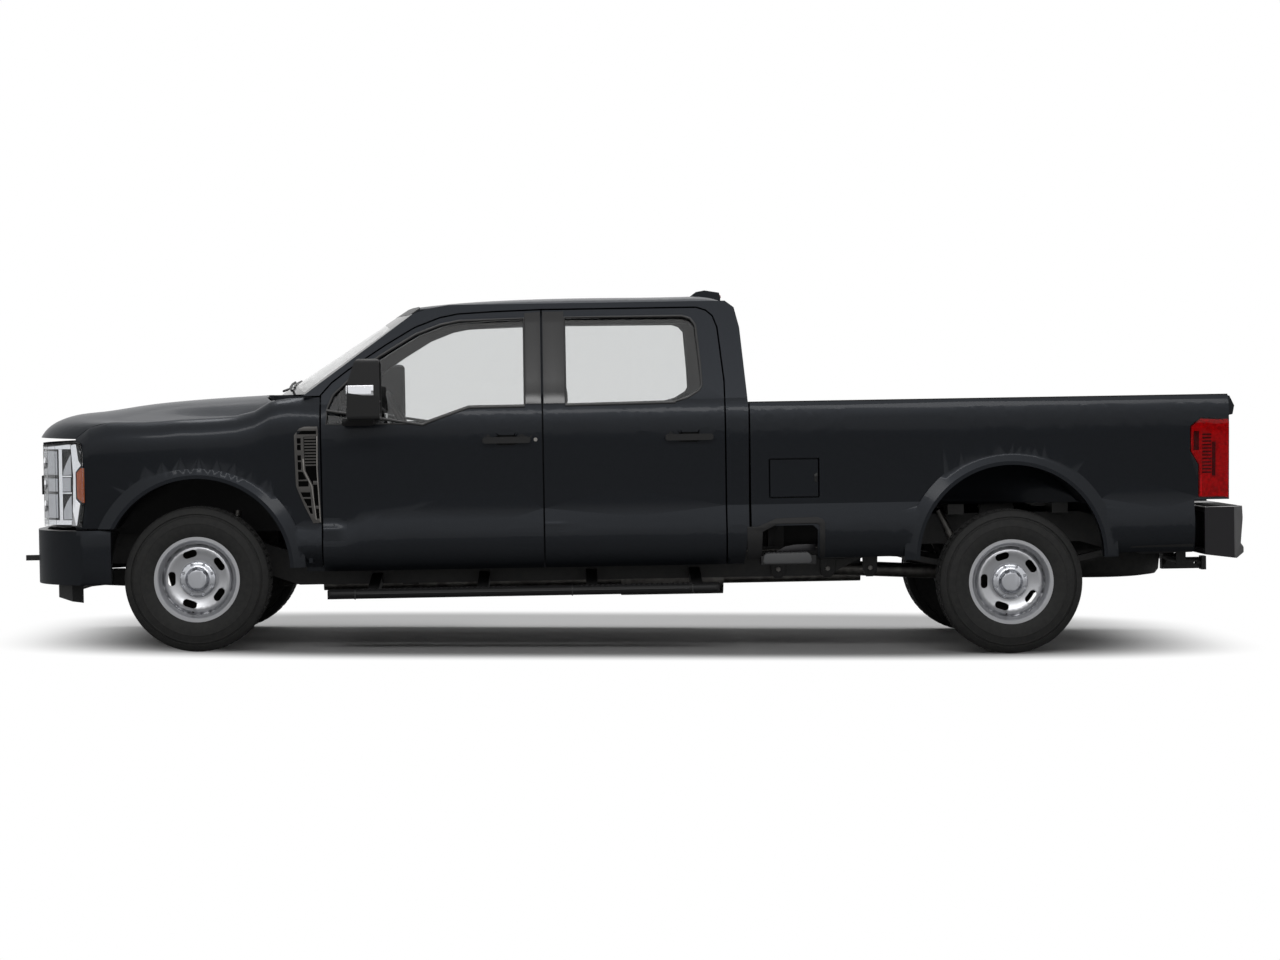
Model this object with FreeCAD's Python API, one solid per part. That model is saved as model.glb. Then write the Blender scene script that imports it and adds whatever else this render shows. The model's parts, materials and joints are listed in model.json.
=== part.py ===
import FreeCAD, Part

import math
import os

# Crew cab pickup truck with a long bed. It faces -X, +Z is up, and the origin is on the floor
# under the middle of its box. Lengths are millimetres. The body is drawn level, with x counted
# from the front axle and z from the ground, and is then tipped nose down by the rake.

# Whole vehicle
wheelbase = 4470.0
front_overhang = 970.0
rear_overhang = 1321.0
side_half_width = 1003.0
rake_deg = 1.2
front_track = 1737.0
rear_track = 1706.0
panel_gap = 9.0
running_gap = 0.3
overrun = 60.0

# Tyres and wheels
tyre_width = 245.0
tyre_aspect_share = 0.75
tyre_bead_width = 196.0
tread_crown = 9.0
rim_diameter = 431.8
rim_flange = 18.0
rim_wall = 7.0
disc_plate = 8.0
disc_face = 62.0
disc_dish = 26.0
hub_radius = 62.0
hub_reach = 50.0
hub_round = 12.0
hub_skirt_radius = 100.0
hub_skirt_reach = 16.0
hub_notch_count = 8
hub_notch_radius = 6.5
hub_notch_circle = 84.0
hub_notch_depth = 7.0
hand_hole_count = 5
hand_hole_length = 78.0
hand_hole_width = 40.0
hand_hole_circle = 143.0
spindle_radius = 28.0

# Side of the body
sill_z = 430.0
belt_z = 1345.0
crease_z = 757.0
crease_front_z = 690.0
greenhouse_top_z = 1884.0
greenhouse_top_inset = 217.0
greenhouse_top_half = side_half_width - greenhouse_top_inset
skin = 24.0
door_thickness = 118.0
door_inner_half = side_half_width - door_thickness
door_frame_depth = 50.0
door_hem = 20.0
door_hem_step = 12.0
cab_wall_inset = 213.0
cab_wall_half = side_half_width - cab_wall_inset
pillar_depth = 66.0
seal_gap = 9.0
frame_seal_gap = 24.0
door_flange = 46.0
pillar_cover = 96.0
sill_top_z = 560.0

# Places along the cab
cab_front_x = 603.0
front_door_x = 704.0
rear_door_x = 1917.0
rear_door_end_x = 2908.0
door_top_z = 1845.0
cab_back_x = 3040.0
cab_foot_z = 1394.0
cab_floor_z = 600.0
floor_plate = 50.0
firewall_plate = 40.0
back_wall_plate = 46.0
cab_frame_depth = door_frame_depth + frame_seal_gap + pillar_depth
back_wall_inset = 26.0
back_window_inset = 363.0
back_window_half = side_half_width - back_window_inset
back_window_top_z = 1770.0
roof_peak_z = 1930.0
roof_back_x = 2938.0
roof_header_z = 1842.0
roof_sheet = 20.0
fairing_length = 190.0
fairing_half = 170.0
fairing_rise = 35.0
roof_seam_inset = 261.0
roof_seam_half = side_half_width - roof_seam_inset
cowl_front_x = 394.0
cowl_foot_x = 416.0
cowl_inset = 313.0
cowl_half = side_half_width - cowl_inset
cowl_deck = 60.0
cowl_wing_x = 440.0
cowl_wing_inset = 123.0
cowl_wing_half = side_half_width - cowl_wing_inset

# Windshield, curved in plan
windshield_low_x = 405.0
windshield_low_z = 1402.0
windshield_low_inset = 135.0
windshield_low_half = side_half_width - windshield_low_inset
windshield_low_sweep = 205.0
windshield_top_x = 1078.0
windshield_top_z = 1836.0
windshield_top_inset = 241.0
windshield_top_half = side_half_width - windshield_top_inset
windshield_top_sweep = 122.0
glass_sheet = 6.0
glass_inset = 18.0
glass_hold = 16.0

# Hinges of the doors
hinge_back = 60.0
hinge_depth = 20.0
hinge_pin_radius = 6.0
hinge_height = 60.0
hinge_arm = 24.0
hinge_sweep = 12.0
lower_hinge_z = 640.0
upper_hinge_z = 1120.0

# Door handles
handle_length = 262.0
handle_height = 34.0
handle_z = 1134.0
handle_end_gap = 63.0
handle_reach = 33.0
handle_bar = 14.0
handle_foot = 48.0
handle_pocket_length = 120.0
handle_pocket_height = 56.0
handle_pocket_depth = 24.0

# Mirrors, on the front doors
mirror_x = 862.0
mirror_length = 180.0
mirror_stand_off = 67.0
mirror_inner_half = side_half_width + mirror_stand_off
mirror_width = 228.0
mirror_outer_half = mirror_inner_half + mirror_width
mirror_low_z = 1258.0
mirror_height = 328.0
mirror_round = 24.0
mirror_glass_inset = 16.0
mirror_glass_sink = 9.0
mirror_arm_x = 826.0
mirror_arm_length = 170.0
mirror_arm_z = 1226.0
mirror_arm_height = 40.0
mirror_arm_round = 14.0

# Hood
hood_edge_inset = 123.0
hood_edge_half = side_half_width - hood_edge_inset
hood_nose_x = -930.0
hood_corner_x = -649.0
hood_rear_x = 355.0
hood_corner_rear_x = 423.0
hood_sheet = 22.0
hood_nose_z = 1189.0
hood_corner_z = 1178.0
hood_rear_z = 1406.0
hood_corner_rear_z = 1369.0
hood_pin_x = 330.0
hood_pin_z = 1338.0
hood_pin_share = 0.636
hood_pin_half = hood_edge_half * hood_pin_share
hood_pin_radius = 7.0
hood_lug = 15.0
hood_arm = 24.0

# Front end
grille_face_x = -914.0
grille_depth = 62.0
grille_inset = 375.0
grille_half = side_half_width - grille_inset
grille_low_z = 741.0
grille_top_z = 1160.0
grille_bow = 42.0
grille_bar = 40.0
grille_middle_z = 922.0
grille_middle_height = 104.0
grille_middle_reach = 14.0
grille_slat = 12.0
grille_slat_count = 3
lamp_low_z = 697.0
lamp_top_z = 1166.0
lamp_back_x = -604.0
lamp_inset = 41.0
lamp_half = side_half_width - lamp_inset
lamp_foot_cut = 100.0
lamp_foot_slope = 16.0
lamp_brow = 76.0
lamp_brow_cut = 12.0
lamp_brow_slope = 48.0
lamp_front_drop = 24.0
support_x = -700.0
support_depth = 56.0
support_post = 44.0
support_top_z = 1128.0
bumper_low_z = 379.0
bumper_top_z = 676.0
bumper_inset = 13.0
bumper_half = side_half_width - bumper_inset
bumper_shell = 46.0
bumper_corner_x = -600.0
bumper_end_front_x = -455.0
air_dam_low_z = 265.0
air_dam_sheet = 10.0
air_dam_rise = 50.0
air_dam_inset = 203.0
air_dam_half = side_half_width - air_dam_inset
hook_reach = 46.0
hook_z = 510.0
hook_bar = 15.0
hook_half = 432.0

# Fenders, arches and liners
fender_low_z = 457.0
fender_edge_inset = 114.0
fender_edge_half = side_half_width - fender_edge_inset
fender_foot_inset = 53.0
fender_foot_half = side_half_width - fender_foot_inset
fender_flange = 20.0
arch_z = 445.0
arch_radius = 507.0
front_arch_x = 15.0
flare_radius = 590.0
flare_reach = 13.0
flare_half = side_half_width + flare_reach
flare_inner_inset = 57.0
flare_inner_half = side_half_width - flare_inner_inset
flare_lip = 20.0
liner_depth = 36.0
liner_wall = 8.0
liner_rail_gap = 34.0
liner_foot_z = 500.0

# Bed
bed_front_x = 3049.0
bed_rail_z = 1316.0
bed_floor_z = 777.0
bed_plate = 48.0
bed_inner_inset = 156.0
bed_inner_half = side_half_width - bed_inner_inset
bed_skirt = 48.0
bed_skirt_low_z = 440.0
bed_skirt_drop = 4.0
bed_corner_reach = 1213.0
bed_corner_x = wheelbase + bed_corner_reach
bed_skirt_setback = 193.0
bed_skirt_x = bed_corner_x - bed_skirt_setback
bed_corner_low_z = 742.0
wheelhouse_inset = 361.0
wheelhouse_half = side_half_width - wheelhouse_inset
wheelhouse_wall = 16.0
headboard = 36.0
bed_rib_width = 60.0
bed_rib_pitch = 120.0
bed_rib_depth = 12.0
bed_step_x = 3090.0
bed_step_length = 320.0
bed_step_top_z = 640.0
tailgate_depth = 84.0
tailgate_low_z = 768.0
tailgate_pin_z = 806.0
tailgate_pin_radius = 11.0
tailgate_pin_reach = 46.0
tailgate_lip = 66.0
tailgate_gap = 8.0
tailgate_floor_gap = 12.0
tailgate_press_depth = 8.0
tailgate_press_half = 640.0
tailgate_handle_half = 110.0
tailgate_handle_height = 62.0
tailgate_handle_depth = 26.0
lamp_inner_inset = 141.0
lamp_inner_half = side_half_width - lamp_inner_inset
rear_bumper_reach = 1079.0
rear_bumper_x = wheelbase + rear_bumper_reach
rear_bumper_inset = 28.0
rear_bumper_half = side_half_width - rear_bumper_inset
rear_bumper_top_z = 699.0
rear_bumper_low_z = 414.0
bumper_step_z = 455.0
bumper_wall = 30.0
bumper_corner_cut = 130.0
bumper_corner_slope = 80.0
bumper_mount_width = 150.0
step_pad_depth = 5.0
step_pad_half = 330.0
rail_cap = 6.0
rail_cap_inset = 36.0

# Fuel door, on the left side of the bed
fuel_door_x = 3155.0
fuel_door_length = 262.0
fuel_door_z = 798.0
fuel_door_height = 202.0
fuel_door_sheet = 9.0
fuel_door_gap = 8.5
fuel_pocket = 102.0
fuel_pin_inset = 60.0
fuel_pin_radius = 2.5
fuel_pin_depth = 35.0
fuel_pin_half = side_half_width - fuel_pin_depth

# Chassis
rail_half = 436.0
rail_width = 70.0
rail_depth = 170.0
rail_z = 332.0
liner_inner_half = rail_half + rail_width / 2.0 + liner_rail_gap
rail_front_rise = 138.0
rail_rear_rise = 168.0
rail_end_rise = 102.0
front_rail_x = -850.0
cross_width = 90.0
cross_depth = 60.0
mount_radius = 42.0
axle_tube_radius = 45.0
axle_case_radius = 165.0
kingpin_inset = 103.5
kingpin_half = front_track / 2.0 - kingpin_inset
kingpin_radius = 17.0
kingpin_height = 210.0
beam_depth = 80.0
beam_width = 84.0
coil_radius = 64.0
leaf_width = 70.0
leaf_stack = 34.0
leaf_front = 690.0
leaf_rear = 740.0
leaf_camber = 118.0

# Engine, driveline, tank and exhaust
engine_x = -330.0
engine_length = 720.0
engine_half = 290.0
engine_low_z = 560.0
engine_height = 560.0
gearbox_length = 830.0
gearbox_radius = 180.0
gearbox_tail_radius = 100.0
gearbox_cross_x = 1100.0
gearbox_drop = 12.0
tunnel_radius = 206.0
tunnel_end_x = 1270.0
shaft_radius = 42.0
shaft_front_z = 480.0
tank_x = 3140.0
tank_length = 560.0
tank_half = 150.0
tank_y = -251.0
tank_low_z = 392.0
tank_height = 230.0
exhaust_y = 236.0
exhaust_radius = 32.0
muffler_radius = 92.0
muffler_share = 0.45

# Running boards
board_x = 719.0
board_end_x = 2870.0
board_top_z = 326.0
board_sheet = 48.0
board_inner_inset = 165.0
board_inner_half = side_half_width - board_inner_inset
board_outer_inset = 3.0
board_outer_half = side_half_width - board_outer_inset
board_bracket = 60.0
board_round = 26.0
board_bracket_rise = 1.0

# Cabin
dash_back_x = 1010.0
dash_low_z = 1000.0
dash_top_z = 1300.0
steering_y = -385.0
steering_x = 1120.0
steering_z = 1230.0
steering_radius = 190.0
steering_rim = 15.0
steering_tilt_deg = 26.0
seat_base_z = 760.0
seat_top_z = 930.0
seat_back_top_z = 1500.0
front_seat_x = 1440.0
front_seat_back_x = 1960.0
front_seat_inner_half = 130.0
front_seat_side_gap = 140.0
front_seat_outer_half = cab_wall_half - front_seat_side_gap
front_seat_back = 130.0
rear_seat_x = 2420.0
rear_seat_back_x = 2780.0
rear_seat_side_gap = 90.0
rear_seat_half = cab_wall_half - rear_seat_side_gap
seat_lean = 90.0

# Spare wheel, under the rear of the bed
spare_reach = 610.0
spare_x = wheelbase + spare_reach
spare_z = 405.0

# Receiver hitch
receiver_setback = 55.0
receiver_x = rear_bumper_x - receiver_setback
receiver_reach = 203.0
receiver_end_x = rear_bumper_x + receiver_reach
receiver_z = 340.0
receiver_width = 63.5
receiver_room = 51.4
receiver_collar = 26.0
receiver_lip = 8.0
hitch_tube_radius = 27.0
hitch_tube_z = 385.0
hitch_pin_setback = 62.0
hitch_pin_x = receiver_end_x - hitch_pin_setback
hitch_pin_radius = 8.2

rake = math.radians(rake_deg)
rim_radius = rim_diameter / 2.0
tyre_radius = rim_radius + tyre_width * tyre_aspect_share


def point(x, y, z):
    return FreeCAD.Vector(x, y, z)


def block(x_low, x_high, y_low, y_high, z_low, z_high):
    corner = point(x_low, y_low, z_low)
    return Part.makeBox(x_high - x_low, y_high - y_low, z_high - z_low, corner)


def rod(start, end, radius):
    direction = end.sub(start)
    return Part.makeCylinder(radius, direction.Length, start, direction)


def cross_rod(x, y_low, y_high, z, radius):
    return rod(point(x, y_low, z), point(x, y_high, z), radius)


def closed_wire(corners, radius=0.0):
    # A closed outline whose corners may be rounded by one radius.
    if not radius:
        return Part.makePolygon(corners + [corners[0]])
    arcs = []
    count = len(corners)
    for number in range(count):
        here = corners[number]
        back = corners[number - 1].sub(here).normalize()
        ahead = corners[(number + 1) % count].sub(here).normalize()
        half = back.getAngle(ahead) / 2.0
        reach = radius / math.tan(half)
        bulge = radius / math.sin(half) - radius
        inward = back.add(ahead).normalize()
        arcs.append((here.add(back * reach), here.add(inward * bulge), here.add(ahead * reach)))
    edges = []
    for number in range(count):
        start, middle, end = arcs[number]
        edges.append(Part.Arc(start, middle, end).toShape())
        edges.append(Part.makeLine(end, arcs[(number + 1) % count][0]))
    return Part.Wire(edges)


def side_prism(outline, y_low, y_high, radius=0.0):
    # Outline of (x, z) pairs, carried from y_low to y_high.
    face = Part.Face(closed_wire([point(x, y_low, z) for x, z in outline], radius))
    return face.extrude(point(0, y_high - y_low, 0))


def end_prism(outline, x_low, x_high, radius=0.0):
    # Outline of (y, z) pairs, carried from x_low to x_high.
    face = Part.Face(closed_wire([point(x_low, y, z) for y, z in outline], radius))
    return face.extrude(point(x_high - x_low, 0, 0))


def plan_prism(outline, z_low, z_high, radius=0.0):
    # Outline of (x, y) pairs, carried from z_low to z_high.
    face = Part.Face(closed_wire([point(x, y, z_low) for x, y in outline], radius))
    return face.extrude(point(0, 0, z_high - z_low))


def through(outline, radius=0.0):
    # The outline carried through the whole left half.
    return side_prism(outline, -2.0 * side_half_width, 0, radius)


def turned_about_y(profile):
    # Profile of (radius, y) pairs, revolved about the Y axis.
    face = Part.Face(closed_wire([point(r, y, 0) for r, y in profile]))
    return face.revolve(point(0, 0, 0), point(0, 1, 0), 360.0)


def spline(points):
    curve = Part.BSplineCurve()
    curve.interpolate(points)
    return curve.toShape()


def mirrored(shape):
    return shape.mirror(point(0, 0, 0), point(0, 1, 0))


def both_sides(shape):
    return [shape, mirrored(shape)]


def between(low, high, share):
    return low + (high - low) * share


def placed(shares, x_low, x_high, z_low, z_high):
    return [(between(x_low, x_high, a), between(z_low, z_high, b)) for a, b in shares]


def fused(shapes):
    whole = shapes[0]
    for shape in shapes[1:]:
        whole = whole.fuse(shape)
    return whole.removeSplitter()


def grown(outline, distance):
    # The same outline moved outward by a distance, or inward by a negative one.
    wire = closed_wire([point(x, 0, z) for x, z in outline])
    moved = Part.Face(wire).OuterWire.makeOffset2D(distance, 2)
    return [(v.Point.x, v.Point.z) for v in moved.OrderedVertexes]


def level_place(x, z):
    # Where a point given over the ground lies on the level body.
    return (x * math.cos(rake) + z * math.sin(rake), z * math.cos(rake) - x * math.sin(rake))


rear_axle_x, rear_axle_z = level_place(wheelbase, tyre_radius)
hook_tip_x = -front_overhang - hook_reach
bumper_end_x = wheelbase + rear_overhang
front_tip = hook_tip_x * math.cos(rake) - hook_z * math.sin(rake)
rear_tip = bumper_end_x * math.cos(rake) - bumper_step_z * math.sin(rake)
origin_x = (front_tip + rear_tip) / 2.0
front_door_end_x = rear_door_x - panel_gap
hinge_half = side_half_width - hinge_depth
gearbox_end_x = engine_x + engine_length + gearbox_length

# Outer curve of the side: shares of the half width, and of the height from sill to crease
# and from crease to belt.
lower_side_shares = ((0.925, 0.0), (0.975, 0.2), (0.996, 0.42), (0.994, 0.67), (0.976, 1.0))
upper_side_shares = ((0.976, 0.0), (0.982, 0.18), (0.994, 0.47), (1.0, 0.72), (0.99, 0.88), (0.962, 1.0))
belt_half = side_half_width * upper_side_shares[-1][0]


def side_points(x, shares, z_low, z_high):
    return [point(x, -side_half_width * half, between(z_low, z_high, height)) for half, height in shares]


def greenhouse_half(z, depth=0.0):
    lean = (z - belt_z) / (greenhouse_top_z - belt_z)
    return between(belt_half, greenhouse_top_half, lean) - depth


def side_ring(x, crease, inner_half, frame_depth):
    # Section of the left wall: the outer skin's curve, with its crease, and a plainer inner line.
    lower = side_points(x, lower_side_shares, sill_z, crease)
    upper = side_points(x, upper_side_shares, crease, belt_z)
    top_z = greenhouse_top_z
    inner = Part.makePolygon([
        upper[-1],
        point(x, -greenhouse_half(top_z), top_z),
        point(x, -greenhouse_half(top_z, frame_depth), top_z),
        point(x, -greenhouse_half(belt_z, frame_depth), belt_z),
        point(x, -inner_half, belt_z - skin),
        point(x, -inner_half, sill_z),
        lower[0],
    ])
    return Part.Wire([spline(lower), spline(upper)] + inner.Edges)


def side_wall(x_low, x_high, inner_half, frame_depth, extra=0.0):
    # Left wall of one section all along, pushed in by extra.
    wall = Part.Face(side_ring(x_low, crease_z, inner_half, frame_depth)).extrude(point(x_high - x_low, 0, 0))
    wall.translate(point(0, extra, 0))
    return wall


# How far the front door's crease has dipped towards the fender, along the door.
crease_dip_shares = ((0.0, 1.0), (0.06, 0.99), (0.1, 0.9), (0.135, 0.6), (0.17, 0.28), (0.28, 0.06),
                     (0.4, 0.0))


def dipped_wall(inner_half, frame_depth):
    # The front door's wall, whose crease runs down to meet the fender's.
    rings = []
    for along, dip in crease_dip_shares:
        x = between(front_door_x, front_door_end_x, along)
        rings.append(side_ring(x, between(crease_z, crease_front_z, dip), inner_half, frame_depth))
    level_x = between(front_door_x, front_door_end_x, crease_dip_shares[-1][0])
    return Part.makeLoft(rings, True, True).fuse(side_wall(level_x, front_door_end_x, inner_half, frame_depth))


# Outlines of doors and windows, as shares of the door's length and of its height over the sill.
front_door_top_shares = ((0.0, 0.681), (0.049, 0.728), (0.123, 0.776), (0.295, 0.872), (0.426, 0.938),
                         (0.541, 0.975), (0.622, 0.988), (0.785, 0.995), (1.0, 1.0))
front_window_shares = ((0.022, 0.568), (0.022, 0.62), (0.052, 0.688), (0.122, 0.742), (0.256, 0.829),
                       (0.428, 0.917), (0.543, 0.953), (0.624, 0.966), (0.925, 0.972), (0.925, 0.629),
                       (0.67, 0.627), (0.49, 0.575), (0.46, 0.562))
rear_door_top_shares = ((0.0, 1.0), (0.86, 1.0), (0.912, 0.988), (0.946, 0.967), (0.97, 0.922), (1.0, 0.71))
rear_window_shares = ((0.121, 0.627), (0.121, 0.972), (0.782, 0.97), (0.828, 0.959), (0.857, 0.934),
                      (0.878, 0.773), (0.884, 0.695), (0.868, 0.675), (0.8, 0.646), (0.732, 0.632))


def door_place(shares, x_low, x_high):
    return placed(shares, x_low, x_high, sill_z, door_top_z)


def door_outline(end):
    # Bottom corners and the row of points along the top.
    if end == "front":
        top = door_place(front_door_top_shares, front_door_x, front_door_end_x)
        return [(front_door_x, sill_z)] + top + [(front_door_end_x, sill_z)]
    top = door_place(rear_door_top_shares, rear_door_x, rear_door_end_x)
    return [(rear_door_x, sill_z)] + top + [(rear_door_end_x, sill_z)]


def window_outline(end):
    if end == "front":
        return door_place(front_window_shares, front_door_x, front_door_end_x)
    return door_place(rear_window_shares, rear_door_x, rear_door_end_x)


def door_start(end):
    return front_door_x if end == "front" else rear_door_x


def window_pane(end):
    # A flat pane that leans with the greenhouse, held a little under its frame.
    outline = grown(window_outline(end), glass_hold)
    low_z = min(z for x, z in outline)
    top_z = max(z for x, z in outline)
    deep = glass_inset + glass_sheet
    band = [
        (-greenhouse_half(low_z, glass_inset), low_z),
        (-greenhouse_half(top_z, glass_inset), top_z),
        (-greenhouse_half(top_z, deep), top_z),
        (-greenhouse_half(low_z, deep), low_z),
    ]
    sheet = end_prism(band, min(x for x, z in outline), max(x for x, z in outline))
    return sheet.common(through(outline))


def hinge_levels():
    return (lower_hinge_z, upper_hinge_z)


def hinge_pin(end, radius, z_low, z_high):
    place = point(door_start(end) + hinge_back, -hinge_half, z_low)
    return Part.makeCylinder(radius, z_high - z_low, place)


def hinge_pocket(end):
    # Room in the door for the hinge arms, open to its front edge and its inner face.
    pin_x = door_start(end) + hinge_back
    rooms = []
    for z in hinge_levels():
        low = z - hinge_height / 2.0
        rooms.append(block(door_start(end) - overrun, pin_x + hinge_arm, -hinge_half - hinge_depth * 0.6,
                           -cab_wall_half, low, low + hinge_height))
        rooms.append(hinge_pin(end, hinge_pin_radius + running_gap, z - hinge_height, z + hinge_height))
    return fused(rooms)


def hinge_arms(end):
    # Arms that reach from the pillar to the pins which carry one door.
    pin_x = door_start(end) + hinge_back
    arms = []
    for z in hinge_levels():
        low = z - hinge_height / 2.0 + seal_gap
        high = z + hinge_height / 2.0 - seal_gap
        arms.append(block(pin_x - hinge_arm / 2.0, pin_x + hinge_arm / 2.0, -hinge_half, -cab_wall_half - skin,
                          low, high))
        arms.append(hinge_pin(end, hinge_arm / 2.0 - running_gap, low, high))
        arms.append(hinge_pin(end, hinge_pin_radius, z - hinge_height * 0.8, z + hinge_height * 0.8))
    return arms


def handle_start(end):
    return (front_door_end_x if end == "front" else rear_door_end_x) - handle_end_gap - handle_length


def handle_outline(x_low, x_high, z_low, z_high):
    return [(x_low, z_low), (x_high, z_low), (x_high, z_high), (x_low, z_high)]


def handle_pocket(end):
    # Hollow in the skin behind the handle, where the fingers go.
    middle = handle_start(end) + handle_length / 2.0
    outline = handle_outline(middle - handle_pocket_length / 2.0, middle + handle_pocket_length / 2.0,
                             handle_z - handle_pocket_height / 2.0, handle_z + handle_pocket_height / 2.0)
    return side_prism(outline, -2.0 * side_half_width, -side_half_width + handle_pocket_depth,
                      handle_pocket_height * 0.4)


def handle(end):
    # Pull handle: a rounded bar on two feet that reach into the skin.
    x_low = handle_start(end)
    x_high = x_low + handle_length
    outer = -side_half_width - handle_reach
    inner = outer + handle_bar
    half = handle_height / 2.0
    outline = handle_outline(x_low, x_high, handle_z - half, handle_z + half)
    bar = side_prism(outline, outer, inner, half * 0.8)
    pieces = [bar]
    for x in (x_low + handle_bar * 0.5, x_high - handle_bar * 0.5 - handle_foot):
        foot = handle_outline(x, x + handle_foot, handle_z - half * 0.8, handle_z + half * 0.8)
        deep = -side_half_width + handle_pocket_depth
        pieces.append(side_prism(foot, inner - handle_bar * 0.5, deep, half * 0.3))
    return pieces


def door(end):
    outline = door_outline(end)
    x_low = min(x for x, z in outline)
    x_high = max(x for x, z in outline)
    if end == "front":
        panel = dipped_wall(door_inner_half, door_frame_depth).common(through(outline))
    else:
        panel = side_wall(x_low, x_high, door_inner_half, door_frame_depth).common(through(outline))
    # Under the outer hem the door is a step smaller all round, so that it swings clear.
    deep = side_wall(x_low - overrun, x_high + overrun, cab_wall_half, door_frame_depth * 2.0, door_hem)
    panel = panel.cut(deep.cut(through(grown(outline, -door_hem_step))))
    panel = panel.cut(through(window_outline(end)))
    panel = panel.cut(hinge_pocket(end)).cut(handle_pocket(end))
    return fused([panel.cut(window_pane(end))] + handle(end))


# Side silhouette of the cab, from the A-pillar over the roof rail to the back.
cab_front_edge_shares = ((0.0, 0.0), (0.7525, 0.905), (0.86, 0.96), (1.0, 1.0))
cab_front_edge_length = 800.0
window_hold_share = 0.95
cab_back_shares = ((0.955, 1.0), (0.975, 0.93), (0.986, 0.72), (0.999, 0.0), (1.0, -0.1), (0.998, -1.32),
                   (0.985, -1.74))


def cab_outline():
    front = placed(cab_front_edge_shares, cab_front_x, cab_front_x + cab_front_edge_length, cab_foot_z,
                   greenhouse_top_z)
    back = placed(cab_back_shares, cab_front_x, cab_back_x, belt_z, greenhouse_top_z)
    return [(cab_front_x, sill_z)] + front + back


def cab_side():
    wall = side_wall(cab_front_x, cab_back_x, cab_wall_half, cab_frame_depth).common(through(cab_outline()))
    # The doors' room, outside of the pillars and the sill.
    low_x = cab_front_x - overrun
    high_x = cab_back_x + overrun
    zone = side_wall(low_x, high_x, door_inner_half - seal_gap, door_frame_depth + frame_seal_gap)
    zone = zone.fuse(block(low_x, high_x, -2.0 * side_half_width, -(door_inner_half - seal_gap),
                           sill_z - overrun, belt_z))
    doorways = through(grown(door_outline("front"), panel_gap))
    doorways = doorways.fuse(through(grown(door_outline("rear"), panel_gap)))
    sweep = None
    swing = math.hypot(hinge_back, hinge_half - door_inner_half) + hinge_sweep * 0.5
    for end in ("front", "rear"):
        turn = hinge_pin(end, swing, sill_z - overrun, belt_z + overrun)
        sweep = turn if sweep is None else sweep.fuse(turn)
    fender_room = block(low_x, front_door_x, -2.0 * side_half_width, 0, sill_z - overrun, cab_foot_z)
    wall = wall.cut(zone.common(doorways.fuse(fender_room)))
    wall = wall.cut(sweep.common(doorways))
    # Each doorway leaves a flange that the door closes against, and a pillar for its hinges.
    sill = block(low_x, high_x, -2.0 * side_half_width, 0, sill_z - overrun, sill_top_z)
    for end in ("front", "rear"):
        hole = through(grown(door_outline(end), -door_flange))
        pillar = block(low_x, door_start(end) + pillar_cover, -2.0 * side_half_width, 0, 0, 2.0 * roof_peak_z)
        wall = wall.cut(hole.cut(sill).cut(pillar))
    return wall


def windshield_ring(x, z, half, sweep, thickness):
    outer = Part.Arc(point(x + sweep, -half, z), point(x, 0, z), point(x + sweep, half, z)).toShape()
    back = x + thickness
    inner = Part.Arc(point(back + sweep, half, z), point(back, 0, z), point(back + sweep, -half, z)).toShape()
    right = Part.makeLine(point(x + sweep, half, z), point(back + sweep, half, z))
    left = Part.makeLine(point(back + sweep, -half, z), point(x + sweep, -half, z))
    return Part.Wire([outer, right, inner, left])


def windshield_slab(low_share, high_share, offset, thickness, narrow=0.0):
    # A slice of the windshield's surface, between two shares of its height.
    rings = []
    for share in (low_share, high_share):
        rings.append(windshield_ring(
            between(windshield_low_x, windshield_top_x, share) + offset,
            between(windshield_low_z, windshield_top_z, share),
            between(windshield_low_half, windshield_top_half, share) - narrow,
            between(windshield_low_sweep, windshield_top_sweep, share), thickness))
    return Part.makeLoft(rings, True, True)


def windshield():
    return windshield_slab(0.0, 1.0, 0.0, glass_sheet)


def windshield_front():
    # All the space ahead of the inner face of the glass, and on above its top edge.
    ahead = windshield_slab(0.0, 1.0, -front_door_x, front_door_x + glass_sheet)
    return ahead.fuse(windshield_slab(1.0, 1.4, -front_door_x, front_door_x + glass_sheet))


def back_profile(inset):
    # The cab's back edge seen from the side, from the floor up past the roof, moved forward by an inset.
    edge = placed(cab_back_shares, cab_front_x, cab_back_x, belt_z, greenhouse_top_z)
    low_x, top_x = edge[-1][0], edge[0][0]
    middle = [(x - inset, z) for x, z in edge[-2::-1]]
    return [(low_x - inset, cab_floor_z)] + middle + [(top_x - inset, roof_peak_z)]


def back_sheet(inset, thickness):
    # An upright sheet across the cab that follows its back edge.
    outline = back_profile(inset) + back_profile(inset + thickness)[::-1]
    return side_prism(outline, -side_half_width, side_half_width)


def back_window_outline():
    top_half = back_window_half - skin * 2.0
    return [(-back_window_half, belt_z + skin), (back_window_half, belt_z + skin), (top_half, back_window_top_z),
            (-top_half, back_window_top_z)]


def back_window():
    pane = end_prism(back_window_outline(), rear_seat_back_x, cab_back_x, skin)
    return pane.common(back_sheet(back_wall_inset + back_wall_plate / 2.0, glass_sheet))


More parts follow.
